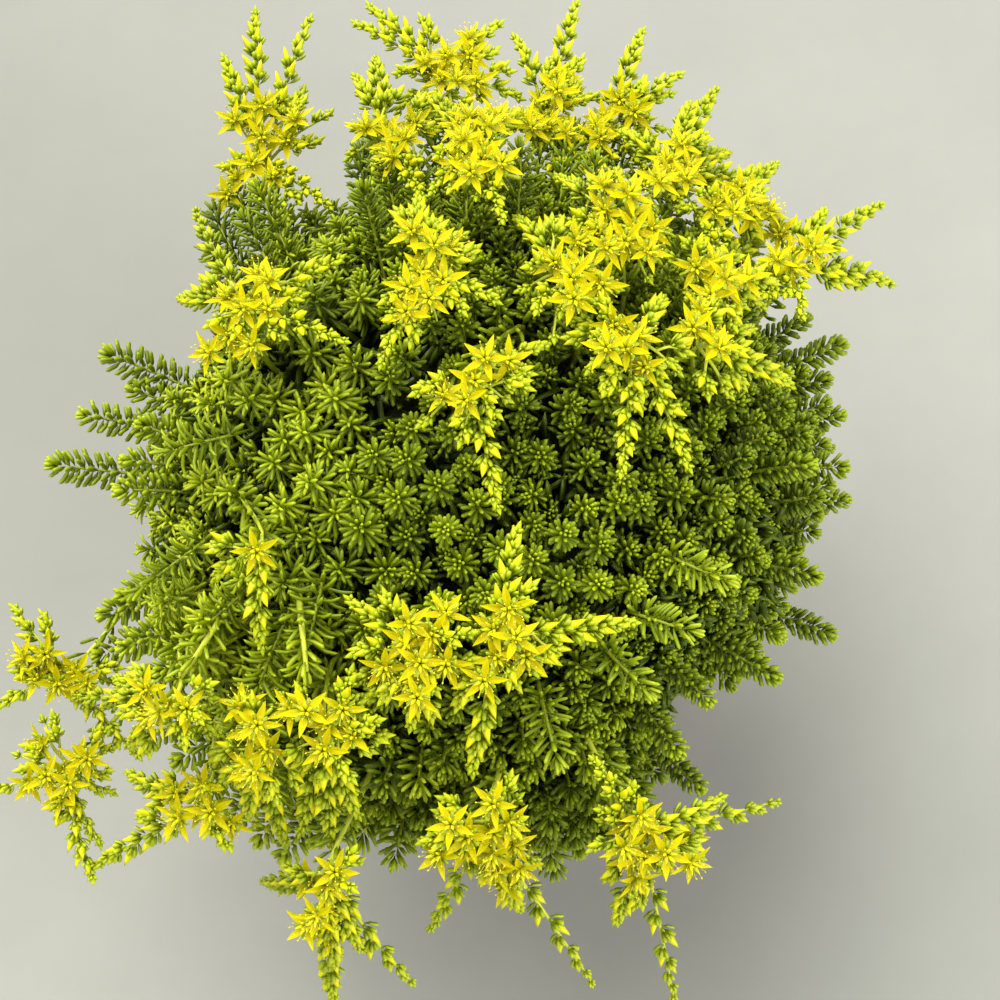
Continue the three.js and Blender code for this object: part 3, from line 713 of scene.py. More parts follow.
def cover_shoot(i, count, depth):
    """One shoot of an even layer of them: depth is how far under the outline its tip ends."""
    down = math.acos(1 - (i + 0.5) / count * (1 - math.cos(LOWEST_SHOOT)))
    tip = on_dome(DOME_RADIUS, DOME_RISE, down, i * GOLDEN_ANGLE)
    out = outward(tip)
    across, up = seen_at(tip)
    loose, low, right = ramp(-across, 5, 45), ramp(-up, 25, 60), ramp(across, 10, 60)
    edge, far_left = ramp(math.hypot(across, up), 52, 74), ramp(-across, 34, 56)
    grouped = clump(tip)
    stray = Vector(random.normal(0, 1, 3))
    lean = ACROSS * (-0.15 * loose) - UPWARD * (0.1 * loose + 0.5 * low) + stray * (0.2 + 0.16 * loose)
    lean += TOWARD * (1.1 * loose + 0.25) * (1 - 0.8 * edge)
    heading = (out + lean).normalized()
    stray_out = random.uniform(-3.6 - 2 * loose - 3 * edge, 2.0 + 2 * edge)
    tip += out * (stray_out + 1.4 * grouped - depth - 3.5 * edge - drawn_in(across, up))
    tip += stray * 1.3
    length = 14 + 6 * loose + 4 * low + random.uniform(-1, 2)
    bend = tip - heading * length * 0.45
    return new_shoot(
        bend - out * length * 0.6,
        bend,
        tip,
        leafy=(7 + 6 * loose + 5 * low + 2 * right) * (1 if depth == 0 else 0.7),
        pitch=0.64 + 0.12 * loose + 0.4 * low,
        leaf=(3.2 + 1.6 * loose + 1.1 * low) * random.uniform(0.85, 1.12),
        width=0.74 + 0.16 * low + 0.08 * right,
        spread=math.radians(80 + 2 * loose - 14 * low - 4 * right),
        arched=loose > 0.5,
        # Darker in the hollows (grouped) and under the outline (depth) as painted shade; paler at the far left
        # and darker at the right partly as painted light from the upper left.
        tone=(
            0.43 + 0.26 * loose + 0.24 * far_left + 0.3 * brightness(across, up) - 0.08 * right + 0.07 * low
            + random.normal(0, 0.13) + 0.06 * grouped - 0.025 * depth
        ),
        kept=random.uniform() > 0.42 * loose + 0.2 * low,
    )


# %% [markdown]
# The shoots that are placed one by one are named by where the camera sees their tips, because they give the
# cushion its outline: airy at the left, tight at the right, and ragged among the flowers at the back.

# %% Shoots placed one by one
LONG_ROOT_RADIUS = 52


def long_shoot(across, up, beyond=0):
    """A shoot that reaches past the others, to where the camera sees (across, up)."""
    tip = over_cushion(across, up, beyond)
    root = CENTRE.lerp(tip, LONG_ROOT_RADIUS / (tip - CENTRE).length)
    length = (tip - root).length
    left = across < 0
    return new_shoot(
        root,
        root.lerp(tip, 0.5) + outward(root) * length * 0.12 + Vector(random.normal(0, 0.8, 3)),
        tip,
        leafy=length * 0.85,
        pitch=1.0 if left else 0.72,
        leaf=random.uniform(3.5, 4.2) if left else random.uniform(2.8, 3.3),
        width=1.02 if left else 0.95,
        spread=math.radians(72 if left else 64),
        tone=(0.78 if left else 0.42) + random.normal(0, 0.08),
    )


def back_shoot(across, up):
    """A leafy shoot that rises from the back of the cushion, among the flowering stems."""
    tip = over_cushion(across, up, random.uniform(4, 8))
    root = over_cushion(across * 0.8, up * 0.7, -10)
    return new_shoot(
        root,
        root.lerp(tip, 0.5) + outward(root) * 5 + Vector(random.normal(0, 1.2, 3)),
        tip,
        leafy=(tip - root).length * 0.9,
        pitch=0.8,
        leaf=random.uniform(3.5, 4.4),
        width=0.62,
        spread=math.radians(62),
        tone=0.5 + random.normal(0, 0.1),
    )


def lying_shoot(root_seen, tip_seen):
    """A long shoot that lies over the others, between two places that the camera sees."""
    tip = over_cushion(*tip_seen, random.uniform(3, 6))
    root = over_cushion(*root_seen, -9)
    left = tip_seen[0] < 0
    return new_shoot(
        root,
        over_cushion(*root_seen, 4).lerp(tip, 0.3),
        tip,
        leafy=(tip - root).length * 0.85,
        pitch=1.0 if left else 0.9,
        leaf=random.uniform(4.6, 5.6) if left else random.uniform(3.8, 4.6),
        width=0.78,
        spread=math.radians(70),
        arched=left,
        tone=0.76 + random.normal(0, 0.07),
    )


def trailing_shoot(root_seen, tip_seen):
    """A thick pale stem with few leaves, which creeps over the others toward its flowers."""
    tip = over_cushion(*tip_seen, 8)
    root = over_cushion(*root_seen, -8)
    return new_shoot(
        root,
        over_cushion(*root_seen, 8).lerp(tip, 0.35),
        tip,
        leafy=(tip - root).length * 0.9,
        pitch=2.7,
        leaf=random.uniform(4.2, 4.8),
        width=0.9,
        spread=math.radians(58),
        tone=1.0,
    )


cover_shoots = [cover_shoot(i, SHOOTS, 0) for i in range(SHOOTS)]
cover_shoots += [cover_shoot(i, UNDERSHOOTS, UNDERSHOOT_DEPTH) for i in range(UNDERSHOOTS)]
cover_shoots = [shoot for shoot in cover_shoots if shoot["kept"]]
placed_shoots = [long_shoot(*place) for place in LONG_SHOOTS]
placed_shoots += [long_shoot(*place, random.uniform(-4, 3)) for place in FREE_SHOOTS]
placed_shoots += [back_shoot(*place) for place in BACK_SHOOTS]
placed_shoots += [lying_shoot(*places) for places in LYING_SHOOTS]
trailing_shoots = [trailing_shoot(*places) for places in TRAILING_SHOOTS]
print("shoots:", len(cover_shoots), "placed:", len(placed_shoots), "trailing:", len(trailing_shoots))


# %% [markdown]
# Each shoot follows a bent line from its root to its tip. The line is walked from the tip down, one whorl at
# a time, and each whorl adds three leaves to the lists. Leaves need light, so none are kept deep under the
# outline, and those in half shade are the small three-sided ones.

# %% Leaves of the shoots
WHORL_TURN = math.pi / 3 + 0.21
CLOSED_LEAN = math.radians(8)
CROWN_RADIUS = 32
SIDE_REACH = 28
MIDDLE_ACROSS = 5


def on_bend(shoot, share):
    """The point and heading at a share of the way from a shoot's root to its tip."""
    root, bend, tip = shoot["root"], shoot["bend"], shoot["tip"]
    point = root.lerp(bend, share).lerp(bend.lerp(tip, share), share)
    return point, (bend.lerp(tip, share) - root.lerp(bend, share)).normalized()


def shoot_leaves(shoot):
    """Rows of numbers for the leaves: centre, heading, first direction, angle, lean, reach, width, length and
    how young each one is."""
    length = (shoot["tip"] - shoot["root"]).length
    hint = Vector(random.normal(0, 1, 3))
    spin = random.uniform(0, 2)
    rows = []
    whorls = int(shoot["leafy"] / shoot["pitch"])
    for k in range(whorls):
        below = 0.2 + k * shoot["pitch"] * (0.6 + 0.4 * min(k / 6, 1))
        point, heading = on_bend(shoot, max(0, 1 - below / length))
        opened = 1 - math.exp(-below / (1.3 if shoot["arched"] else 1.7))
        size = shoot["leaf"] * (0.55 + 0.45 * (1 - math.exp(-below / 1.4)))
        for leaf in range(3):
            angle = spin + k * WHORL_TURN + leaf * 2 * math.pi / 3 + random.normal(0, 0.1)
            lean = CLOSED_LEAN + (shoot["spread"] - CLOSED_LEAN) * opened + random.normal(0, 0.09)
            width = shoot["width"] * (0.8 + 0.2 * opened)
            # The last number, how young a leaf is, makes lower leaves darker: partly their age, partly painted
            # shade.
            rows.append((
                *point, *heading, *hint, angle, lean, 0.1 + 0.2 * opened, width,
                size * random.uniform(0.93, 1.07), math.exp(-below / 3.2),
            ))
    return rows


def region(shoot):
    """The part of the cushion that a shoot belongs to."""
    across, up = seen_at(shoot["tip"])
    side = "left" if across < MIDDLE_ACROSS else "right"
    if across**2 + up**2 < CROWN_RADIUS**2:
        return f"crown_{side}"
    if abs(up) < SIDE_REACH:
        return side
    return f"back_{side}" if up > 0 else f"front_{side}"


LEAFY_DEPTH = 12.5
FULL_LIGHT_DEPTH = 7.5
leaf_rows = {}
for shoot in cover_shoots + placed_shoots + trailing_shoots:
    by_model = leaf_rows.setdefault(region(shoot), {})
    for row in shoot_leaves(shoot):
        depth = under_outline(Vector(row[:3]))
        if depth > LEAFY_DEPTH:
            continue
        model = small_leaf if depth > FULL_LIGHT_DEPTH else arched_leaf if shoot["arched"] else leaf_model
        by_model.setdefault(model, []).append((*row, shoot["tone"]))


def leaf_batch(model, rows):
    """Rows of numbers for leaves as one batch for copies."""
    table = np.array(rows)
    places = leaf_places(table[:, 0:3], table[:, 3:6], table[:, 6:9], *table[:, 9:14].T)
    return model, places, {"young": table[:, 14], "tone": table[:, 15]}


cushion_pieces = []
for name, by_model in leaf_rows.items():
    piece = copies(f"leaves_{name}", [leaf_batch(*pair) for pair in by_model.items()], MM)
    cushion_pieces.append(piece)
    print(piece.name, "triangles:", sum(len(face.vertices) - 2 for face in piece.data.polygons))

# %% [markdown]
# ## Stems
#
# Stems are drawn as curves with a round bevel, which Blender converts to a mesh. The many thin ones between
# the leaves have few sides, and the thick trailing ones are rounder and pale. The tone of the others runs
# from red-brown where they are old, deep in the cushion, to green near the tips.

# %% Draw stems as bevelled curves
def stem_mesh(name, paths, fineness=1):
    """A mesh of round stems in millimetres: a path is a list of (point, radius)."""
    curve = bpy.data.curves.new(name, "CURVE")
    curve.dimensions = "3D"
    curve.bevel_depth = 1
    curve.bevel_resolution = fineness
    curve.use_fill_caps = True
    for path in paths:
        spline = curve.splines.new("POLY")
        spline.points.add(len(path) - 1)
        for knot, (point, radius) in zip(spline.points, path):
            knot.co = (*point, 1)
            knot.radius = radius
    piece = bpy.data.objects.new(name, curve)
    bpy.context.scene.collection.objects.link(piece)
    select_only(piece)
    bpy.ops.object.convert(target="MESH")
    piece = bpy.context.object
    paint(piece, STEM)
    return piece


def shoot_path(shoot, shares, thick, thin):
    """A shoot's stem, from its root almost to its tip."""
    return [(on_bend(shoot, share)[0], thick + (thin - thick) * share) for share in shares]


THIN_BENDS = (0, 0.45, 0.88)
FREE_BENDS = (0, 0.3, 0.6, 0.78, 0.88)
TRAILING_BENDS = (0, 0.15, 0.3, 0.45, 0.6, 0.75, 0.9, 1.0)
OLD_WOOD_RADIUS = 42
shoot_paths = [shoot_path(shoot, THIN_BENDS, 0.46, 0.26) for shoot in cover_shoots]
shoot_paths += [shoot_path(shoot, FREE_BENDS, 0.42, 0.25) for shoot in placed_shoots]
shoot_stems = stem_mesh("shoot_stems_model", shoot_paths, 0)
depths = [outward(Vector(v.co)).dot(Vector(v.co) - CENTRE) for v in shoot_stems.data.vertices]
store(shoot_stems, "tone", [min(0.1 + 0.04 * max(0, depth - OLD_WOOD_RADIUS), 0.66) for depth in depths])
trailing_paths = [shoot_path(shoot, TRAILING_BENDS, 0.75, 0.4) for shoot in trailing_shoots]
trailing_stems = stem_mesh("trailing_stems_model", trailing_paths)
stem_batches = [(shoot_stems, [np.eye(4)], {}), (trailing_stems, [np.eye(4)], {"tone": 1.5})]
cushion_pieces.append(copies("cushion_stems", stem_batches, MM))
print("cushion stems:", len(shoot_paths) + len(trailing_paths))

# %% [markdown]
# ## The old growth inside
#
# Between the shoots one looks down on a mass of old stems and dead leaves, coloured nearly black as painted
# shade in the hollows. It is an icosphere drawn to the cushion's inner shape and roughened by a Displace
# modifier. Below, it fills the mouth of the pot and hangs a little over its rim.

# %% The inner mass
TANGLE_INSET = 12.5
POT_HEIGHT = 80
SOIL_TOP = 70
MOUTH_RADIUS = 43
PAST_RIM_RADIUS = 52.8
INNER_DRAWN_IN = 0.6


def earthy_material(name, ramp_colours, scale, roughness, bump, distance):
    """A dull natural finish: a broken noise through a colour ramp, and the same noise as relief."""
    material, tree, shader = new_material(name)
    place = new_node(tree, "ShaderNodeTexCoord")
    noise = new_node(tree, "ShaderNodeTexNoise")
    noise.inputs["Scale"].default_value = scale
    noise.inputs["Detail"].default_value = 6
    noise.inputs["Roughness"].default_value = 0.65
    tree.links.new(place.outputs["Object"], noise.inputs["Vector"])
    colour_by_ramp(tree, shader, noise.outputs["Fac"], list(zip((0.3, 0.7), ramp_colours)))
    add_relief(tree, shader, noise.outputs["Fac"], bump, distance)
    shader.inputs["Roughness"].default_value = roughness
    return material


# Nearly black: painted shade laid over the colour of old stems and dead leaves, for the hollows between the
# shoots.
OLD_GROWTH_SHADE_COLOURS = [(0.002, 0.004, 0.001), (0.02, 0.022, 0.004)]
OLD_GROWTH_AND_SHADE = earthy_material("old_growth", OLD_GROWTH_SHADE_COLOURS, 260, 0.9, 0.8, 0.002)
OLD_GROWTH_AND_SHADE.node_tree.nodes["Principled BSDF"].inputs["Specular IOR Level"].default_value = 0.1


def model_old_growth():
    bpy.ops.object.select_all(action="DESELECT")
    bpy.ops.mesh.primitive_ico_sphere_add(subdivisions=5, radius=1)
    piece = start_piece("old_growth")
    width = DOME_RADIUS - TANGLE_INSET
    rise = DOME_RISE - TANGLE_INSET
    bpy.ops.object.mode_set(mode="EDIT")
    bpy.ops.mesh.select_all(action="SELECT")
    bpy.ops.transform.resize(value=(width * MM, width * MM, rise * MM))
    bpy.ops.transform.translate(value=CENTRE * MM)
    bpy.ops.object.mode_set(mode="OBJECT")
    texture = bpy.data.textures.new("old_growth_lumps", "CLOUDS")
    texture.noise_scale = 0.006
    lumps = piece.modifiers.new("lumps", "DISPLACE")
    lumps.texture = texture
    lumps.texture_coords = "LOCAL"
    lumps.strength = 0.007
    bpy.ops.object.modifier_apply(modifier=lumps.name)
    for vertex in piece.data.vertices:
        place = vertex.co / MM
        vertex.co -= outward(place) * drawn_in(*seen_at(place)) * INNER_DRAWN_IN * MM
        reach = math.hypot(vertex.co.x, vertex.co.y) / MM
        if reach < MOUTH_RADIUS:
            floor = SOIL_TOP + 0.5
        elif reach < PAST_RIM_RADIUS:
            floor = POT_HEIGHT + 1.4
        else:
            floor = POT_HEIGHT - 5
        vertex.co.z = max(vertex.co.z, floor * MM)
    piece.data.materials.append(OLD_GROWTH_AND_SHADE)
    piece.data.shade_smooth()
    return piece


cushion_pieces.append(model_old_growth())

# %% [markdown]
# Withered leaves lie over the inner mass in all directions. They are coloured dark green as painted shade, and
# they break up what shows of it between the shoots.

# %% Old leaves
OLD_LEAVES = 5200
LITTER_INSET = TANGLE_INSET - 1.5
litter_rows = []
for i in range(OLD_LEAVES):
    down = math.acos(1 - (i + 0.5) / OLD_LEAVES)
    at = on_dome(DOME_RADIUS - LITTER_INSET, DOME_RISE - LITTER_INSET, down, i * GOLDEN_ANGLE)
    out = outward(at)
    at += out * (random.uniform(-1.5, 2.5) - drawn_in(*seen_at(at)) * INNER_DRAWN_IN)
    heading = (out * random.uniform(0, 1.2) + Vector(random.normal(0, 1, 3))).normalized()
    hint = random.normal(0, 1, 3)
    length = random.uniform(3.0, 4.6)
    # A low tone on the leaf ramp makes them dark green, as painted shade.
    tone = random.uniform(0.0, 0.32)
    litter_rows.append((*at, *heading, *hint, 0, 0, 0, 0.75, length, 0, tone))
cushion_pieces.append(copies("old_leaves", [leaf_batch(dead_leaf, litter_rows)], MM))
for piece in cushion_pieces:
    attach(piece, "root")
    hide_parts("cushion")
print("cushion pieces:", len(cushion_pieces))

# %% [markdown]
# ## The flower sprays
#
# A spray is laid out by three kinds of points as the camera sees them: where its stem leaves the cushion,
# where it forks and where its branches end. The third number of an end is how many flowers are open on that
# branch. With 0 it has buds only, and without a number its length decides. The last number of a spray is how
# far in millimetres it stands off the cushion.

# %% The layout of the sprays
SPRAYS = [
    ("back_left", (-34, 48), (-43, 69), [
        (-45, 99, 4), (-34, 98, 2), (-35, 84, 2), (-49, 78, 3), (-30, 79, 3), (-50, 62, 3), (-31, 63, 0),
        (-51, 90, 1), (-40, 60),
    ], 8),
    ("left_high", (-38, 26), (-47, 41), [
        (-57, 60, 0), (-59, 42, 1), (-27, 50, 2), (-27, 34, 2), (-50, 32, 3), (-43, 31, 3), (-42, 46, 3),
    ], 8),
    ("back_bent", (-5, 60), (-7, 86), [
        (-22, 100, 1), (4, 97, 1), (-25, 97, 0), (-16, 80), (8, 82), (-4, 74), (-1, 91, 3), (-5, 79, 0),
    ], 8),
    ("back_inner", (-14, 50), (-18, 74), [
        (-21, 90, 1), (-11, 62), (-8, 76), (-26, 70, 1), (-24, 84, 1), (-14, 65, 0), (-21, 66, 0),
    ], 8),
    ("crown_left", (-2, 42), (-11, 48), [(-19, 30), (4, 42, 1), (-12, 62), (-3, 55, 2), (-8, 38, 3)], 10),
    ("crown_front", (8, 32), (-1, 27), [(4, 1, 2), (-11, 17, 2), (13, 33, 2), (6, 22)], 8),
    ("back_mid", (14, 62), (13, 79), [
        (19, 101, 1), (17, 88, 2), (7, 94, 1), (20, 84, 1), (16, 66, 3), (6, 71, 3), (20, 71, 1), (4, 77, 0),
        (25, 82, 0),
    ], 8),
    ("back_right", (24, 58), (25, 76), [
        (32, 95, 1), (38, 83), (19, 67), (33, 68, 0), (26, 62, 1), (36, 76, 2), (40, 87, 0),
    ], 8),
    ("right_back", (34, 50), (37, 67), [
        (47, 84, 1), (49, 71, 2), (29, 56), (44, 58, 2), (54, 64, 1), (41, 79, 1), (28, 73, 0),
    ], 8),
    ("right_high", (42, 42), (48, 59), [(59, 69, 1), (40, 60, 1), (57, 54, 3), (46, 44, 1), (52, 65, 2)], 8),
    ("right_long", (50, 34), (61, 49), [
        (80, 61, 1), (82, 45, 1), (67, 58, 1), (64, 38, 1), (54, 44), (56, 58, 2), (75, 44, 0),
    ], 8),
    ("right_mid", (40, 32), (46, 47), [(57, 55, 1), (56, 41), (36, 51, 1), (47, 34)], 8),
    ("crown_right", (26, 36), (27, 58), [
        (16, 66, 2), (38, 55, 2), (21, 46, 3), (34, 46, 3), (12, 56, 0), (27, 66, 2), (36, 50, 0),
    ], 8),
    ("crown_mid", (18, 28), (17, 48), [
        (8, 58, 1), (28, 44, 2), (9, 44, 1), (22, 36, 2), (15, 34, 3), (20, 57, 2),
    ], 8),
    ("front_right", (28, 20), (31, 35), [
        (29, 8, 2), (42, 9, 2), (22, 28), (40, 28), (18, 38), (37, 42, 0),
    ], 8),
    ("right_low", (38, 22), (44, 33), [(62, 25, 1), (50, 23, 1), (54, 36, 1), (42, 43, 2)], 7),
    ("back_crown", (2, 54), (-1, 72), [
        (-11, 83), (7, 79), (6, 64, 3), (-9, 64), (0, 62, 3), (-5, 67, 0), (5, 58, 0),
    ], 12),
    ("front_left", (-8, -16), (-12, -26), [
        (-25, -18, 1), (-13, -43), (-24, -34), (-3, -34), (-5, -20, 2),
    ], 8),
    ("front_mid", (7, -16), (4, -25), [(8, -3, 1), (31, -22, 1), (-1, -52, 2), (12, -32)], 8),
    ("left_small", (-42, 2), (-43, -6), [(-52, -13, 1), (-43, -27, 0)], 8),
    ("left_reach", (-60, -14), (-82, -31), [
        (-93, -19, 2), (-96, -39, 2), (-74, -34), (-87, -30, 3), (-68, -49, 0), (-90, -34, 1),
    ], 8),
    ("left_trail", (-59, -30), (-82, -51), [
        (-98, -56, 3), (-77, -74, 1), (-73, -47), (-92, -49, 2), (-87, -42, 2), (-74, -56, 0), (-76, -66, 0),
    ], 8),
    ("left_low", (-46, -38), (-54, -57), [
        (-77, -71, 2), (-44, -62, 2), (-62, -52), (-52, -49, 2), (-68, -51, 0),
    ], 8),
    ("left_front", (-52, -22), (-60, -37), [
        (-82, -37, 1), (-52, -44, 1), (-67, -45), (-53, -37), (-71, -33),
    ], 12),
    ("low_left", (-26, -28), (-30, -43), [
        (-22, -37), (-24, -60, 1), (-39, -37, 2), (-36, -53, 1), (-21, -48), (-35, -64, 0), (-29, -66, 0),
    ], 8),
    ("low_outer", (-38, -30), (-42, -45), [
        (-38, -66, 2), (-33, -56, 1), (-50, -53, 1), (-45, -60, 1), (-48, -38, 2),
    ], 8),
    ("hang_left", (-20, -49), (-30, -72), [
        (-29, -98, 5), (-43, -74, 2), (-13, -93, 0), (-24, -70), (-22, -83, 0), (-27, -86, 2), (-38, -70, 0),
    ], 12),
    ("hang_mid", (4, -46), (2, -62), [
        (23, -95, 2), (-10, -84, 0), (12, -70, 3), (-8, -69, 3), (8, -57), (-8, -60), (8, -76, 3),
    ], 8),
    ("hang_right", (20, -42), (32, -63), [
        (60, -58, 1), (23, -49, 1), (39, -98, 1), (26, -78, 3), (42, -66), (25, -62), (48, -57, 0),
    ], 8),
]

# %% [markdown]
# A smooth line runs through the points of a branch. The first branch of a spray has the stem too, which
# starts in its socket in the cushion. Branches that flower get short side branches, which fill the head.

# %% Smooth branches
SOCKET_DEPTH = 5
KNOT_STEPS = 14
FORK_KNOT = 3


def smooth_path(knots, steps=KNOT_STEPS):
    """A smooth line through the knots, as a list of closely spaced points."""
    knots = [knots[0] * 2 - knots[1], *knots, knots[-1] * 2 - knots[-2]]
    points = []
    for p0, p1, p2, p3 in zip(knots, knots[1:], knots[2:], knots[3:]):
        t0 = 0
        t1 = t0 + (p1 - p0).length ** 0.5
        t2 = t1 + (p2 - p1).length ** 0.5
        t3 = t2 + (p3 - p2).length ** 0.5
        for k in range(steps):
            t = t1 + (t2 - t1) * k / steps
            a1 = p0.lerp(p1, (t - t0) / (t1 - t0))
            a2 = p1.lerp(p2, (t - t1) / (t2 - t1))
            a3 = p2.lerp(p3, (t - t2) / (t3 - t2))
            b1 = a1.lerp(a2, (t - t0) / (t2 - t0))
            b2 = a2.lerp(a3, (t - t1) / (t3 - t1))
            points.append(b1.lerp(b2, (t - t1) / (t2 - t1)))
    return [*points, knots[-2]]


class Path:
    """A line of points that can be asked for its point and heading at a distance."""

    def __init__(self, points):
        self.points = points
        self.ends = [0]
        for a, b in zip(points, points[1:]):
            self.ends.append(self.ends[-1] + (b - a).length)
        self.length = self.ends[-1]

    def at(self, distance):
        distance = min(max(distance, 0), self.length * 0.9999)
        k = max(i for i, end in enumerate(self.ends[:-1]) if end <= distance)
        a, b = self.points[k], self.points[k + 1]
        share = (distance - self.ends[k]) / max(self.ends[k + 1] - self.ends[k], 1e-9)
        before, after = self.points[max(k - 1, 0)], self.points[min(k + 2, len(self.points) - 1)]
        heading = (b - before).normalized().lerp((after - a).normalized(), share).normalized()
        return a.lerp(b, share), heading


def spray_branches(root, fork, up, fork_seen, tips, lift):
    """Rows of (path, where the branch starts on it, its open flowers, whether it is a side branch)."""
    out = outward(root)
    branches = []
    for b, (across, rise, *open_flowers) in enumerate(tips):
        end = over_cushion(across, rise, lift - 2)
        if b > 1:
            seen = math.dist((across, rise), fork_seen)
            depth = (end - fork).dot(TOWARD)
            end += TOWARD * (min(max(depth, -seen), seen) - depth)
        middle = fork.lerp(end, 0.5) + up * 1.5
        stem = [root - out * SOCKET_DEPTH, root, root + out * 7] if b == 0 else []
        path = Path(smooth_path([*stem, fork, middle, end]))
        start = path.ends[FORK_KNOT * KNOT_STEPS] if b == 0 else 0
        opened = open_flowers[0] if open_flowers else None
        branches.append((path, start, opened, False))
        for turn in (-1, 1) if opened is None else (1,) if opened else ():
            at, heading = path.at(start + (path.length - start) * (0.25 if turn > 0 else 0.45))
            aside = heading.cross(TOWARD) * turn
            if aside.length > 0.5:
                reach = random.uniform(4.8, 8.2)
                knee = at + heading * reach * 0.3 + aside * reach * 0.35 + up * 0.8
                tip = at + heading * reach * 0.8 + aside * reach * 0.6
                branches.append((Path(smooth_path([at, knee, tip], 6)), 0, None, True))
    return branches


# %% [markdown]
# Flowers are open near the fork, and beyond them the buds stand in two rows that grow smaller and greener to
# the tip of the branch. A spray needs room for its flowers, so the centre of each one is kept, and a new
# flower takes the shortest stalk that keeps it clear of all the others.

# %% Where flowers and buds stand
FLOWER_PITCH = 3.3
FLOWER_ROOM = 4.2
STALKS = (1.6, 2.4, 3.2, 4.0, 5.0)
FLOWERING_SHARE = 0.45
MOST_FLOWERS = 4
BUDS_LENGTH = 18
RIPENING_LENGTH = 10
OPEN_SIDE_BRANCHES = 0.38
OPEN_LOW_SIDE_BRANCHES = 0.7
SIDE_BUD_PITCH = 1.4
FIRST_SIDE_BUD = 1.6
flower_centres = []


def free_centre(base, facing):
    for stalk in STALKS:
        centre = base + facing * stalk
        if all((centre - other).length > FLOWER_ROOM for other in flower_centres):
            flower_centres.append(centre)
            return centre
    return None


def branch_sites(start, length, flowers):
    """Distances of the open flowers, and (distance, age from 0 to 1) of the buds. A long branch has no more
    buds than a short one, only further apart."""
    if flowers is None:
        flowers = min(max(round((length - start) * FLOWERING_SHARE / FLOWER_PITCH), 1), MOST_FLOWERS)
    opened = [start + k * FLOWER_PITCH for k in range(flowers)]
    buds = []
    at = start + flowers * FLOWER_PITCH
    stretch = max(1, (length - at) / BUDS_LENGTH)
    while at < length - 0.4:
        age = min((length - at) / (RIPENING_LENGTH * stretch), 1)
        buds.append((at, age))
        at += (1.3 + 0.75 * age) * stretch
    return opened, buds


def side_branch_sites(length, low):
    """A side branch has buds and at most one open flower, more often where the spray hangs low."""
    share = OPEN_LOW_SIDE_BRANCHES if low else OPEN_SIDE_BRANCHES
    opened = [FIRST_SIDE_BUD] if random.uniform() < share else []
    count = max(int((length - FIRST_SIDE_BUD) / SIDE_BUD_PITCH), 1)
    buds = [(FIRST_SIDE_BUD + (k + 0.7) * SIDE_BUD_PITCH, 0.85 - 0.75 * k / count) for k in range(count)]
    return opened, buds


# %% [markdown]
# Leaves stand in a spiral up the stem. A flower leans out of its row toward the light between two bracts, and
# an older bud has one. The row tells on which side of the branch they stand.

# %% A leaf, a flower and a bud in their places
STEM_LEAF_TURN = 2.4
BRACT_AGE = 0.4


def row_side(heading, up, row):
    """The direction square to a branch that is turned from its upper side by the angle of a row."""
    first = square_to(heading, up)
    return first * math.cos(row) + heading.cross(first) * math.sin(row)


def stem_leaves(path, start, up, pitch):
    """Rows of numbers for the leaves from above the socket to the fork."""
    rows = []
    at = SOCKET_DEPTH + 9
    while at < start - 1:
        point, heading = path.at(at)
        lean = math.radians(46) + random.normal(0, 0.1)
        size = random.uniform(4.2, 5.2)
        rows.append((*point, *heading, *up, len(rows) * STEM_LEAF_TURN, lean, 0.4, 0.95, size, 0.3))
        at += pitch
    return rows


def open_flower(path, at, up, row):
    """A list with the place of a flower and one with its bracts, both empty where there is no room for it."""
    point, heading = path.at(at)
    away = row_side(heading, up, row)
    facing = away * 0.8 + TOWARD * 0.6 + heading * 0.1 + Vector(random.normal(0, 0.16, 3))
    facing.normalize()
    centre = free_centre(point, facing)
    if centre is None:
        return [], []
    spin = Vector(random.normal(0, 1, 3))
    size = random.uniform(0.92, 1.06)
    bracts = []
    for side in (-1, 1):
        angle = row * 1.6 + side * 0.8
        bracts.append((*point, *heading, *up, angle, math.radians(55), 0.4, 0.8, random.uniform(3, 4), 0.2))
    return [place_along(centre, facing, spin, size, size)], bracts


def closed_bud(path, at, age, up, row):
    """A bud as its place and how young it is, and a list with its bract."""
    point, heading = path.at(at)
    away = row_side(heading, up, row)
    lean = math.radians(18 + 20 * age) + random.normal(0, 0.08)
    facing = heading * math.cos(lean) + away * math.sin(lean)
    size = 0.48 + 0.56 * age * random.uniform(0.9, 1.05)
    spin = Vector(random.normal(0, 1, 3))
    place = place_along(point + facing * 0.6 * size, facing, spin, size**0.55, size)
    lean = math.radians(40 + 16 * age)
    bract = (*point, *heading, *up, row * 2.4, lean, 0.35, 0.75, 1.2 + 1.8 * age, 0.25)
    return (place, 1 - age), [bract] if age > BRACT_AGE else []


# %% [markdown]
# A spray is then dressed from its stem outward, branch by branch. At the far left the sprays creep: their
# stems are thick, pale and nearly bare.

# %% Dress one spray
ROOT_DEPTH = 12
CREEPING_BEFORE = -55
HANGING_BELOW = -20
STEM_RADIUS = 0.62
CREEPING_RADIUS = 0.8
BRANCH_RADIUS = 0.42
SIDE_BRANCH_RADIUS = 0.3
TIP_RADIUS = 0.18
STEM_LEAF_PITCH = 0.85
CREEPING_LEAF_PITCH = 1.9
FLOWER_ROW = math.radians(32)
BUD_ROW = math.radians(38)


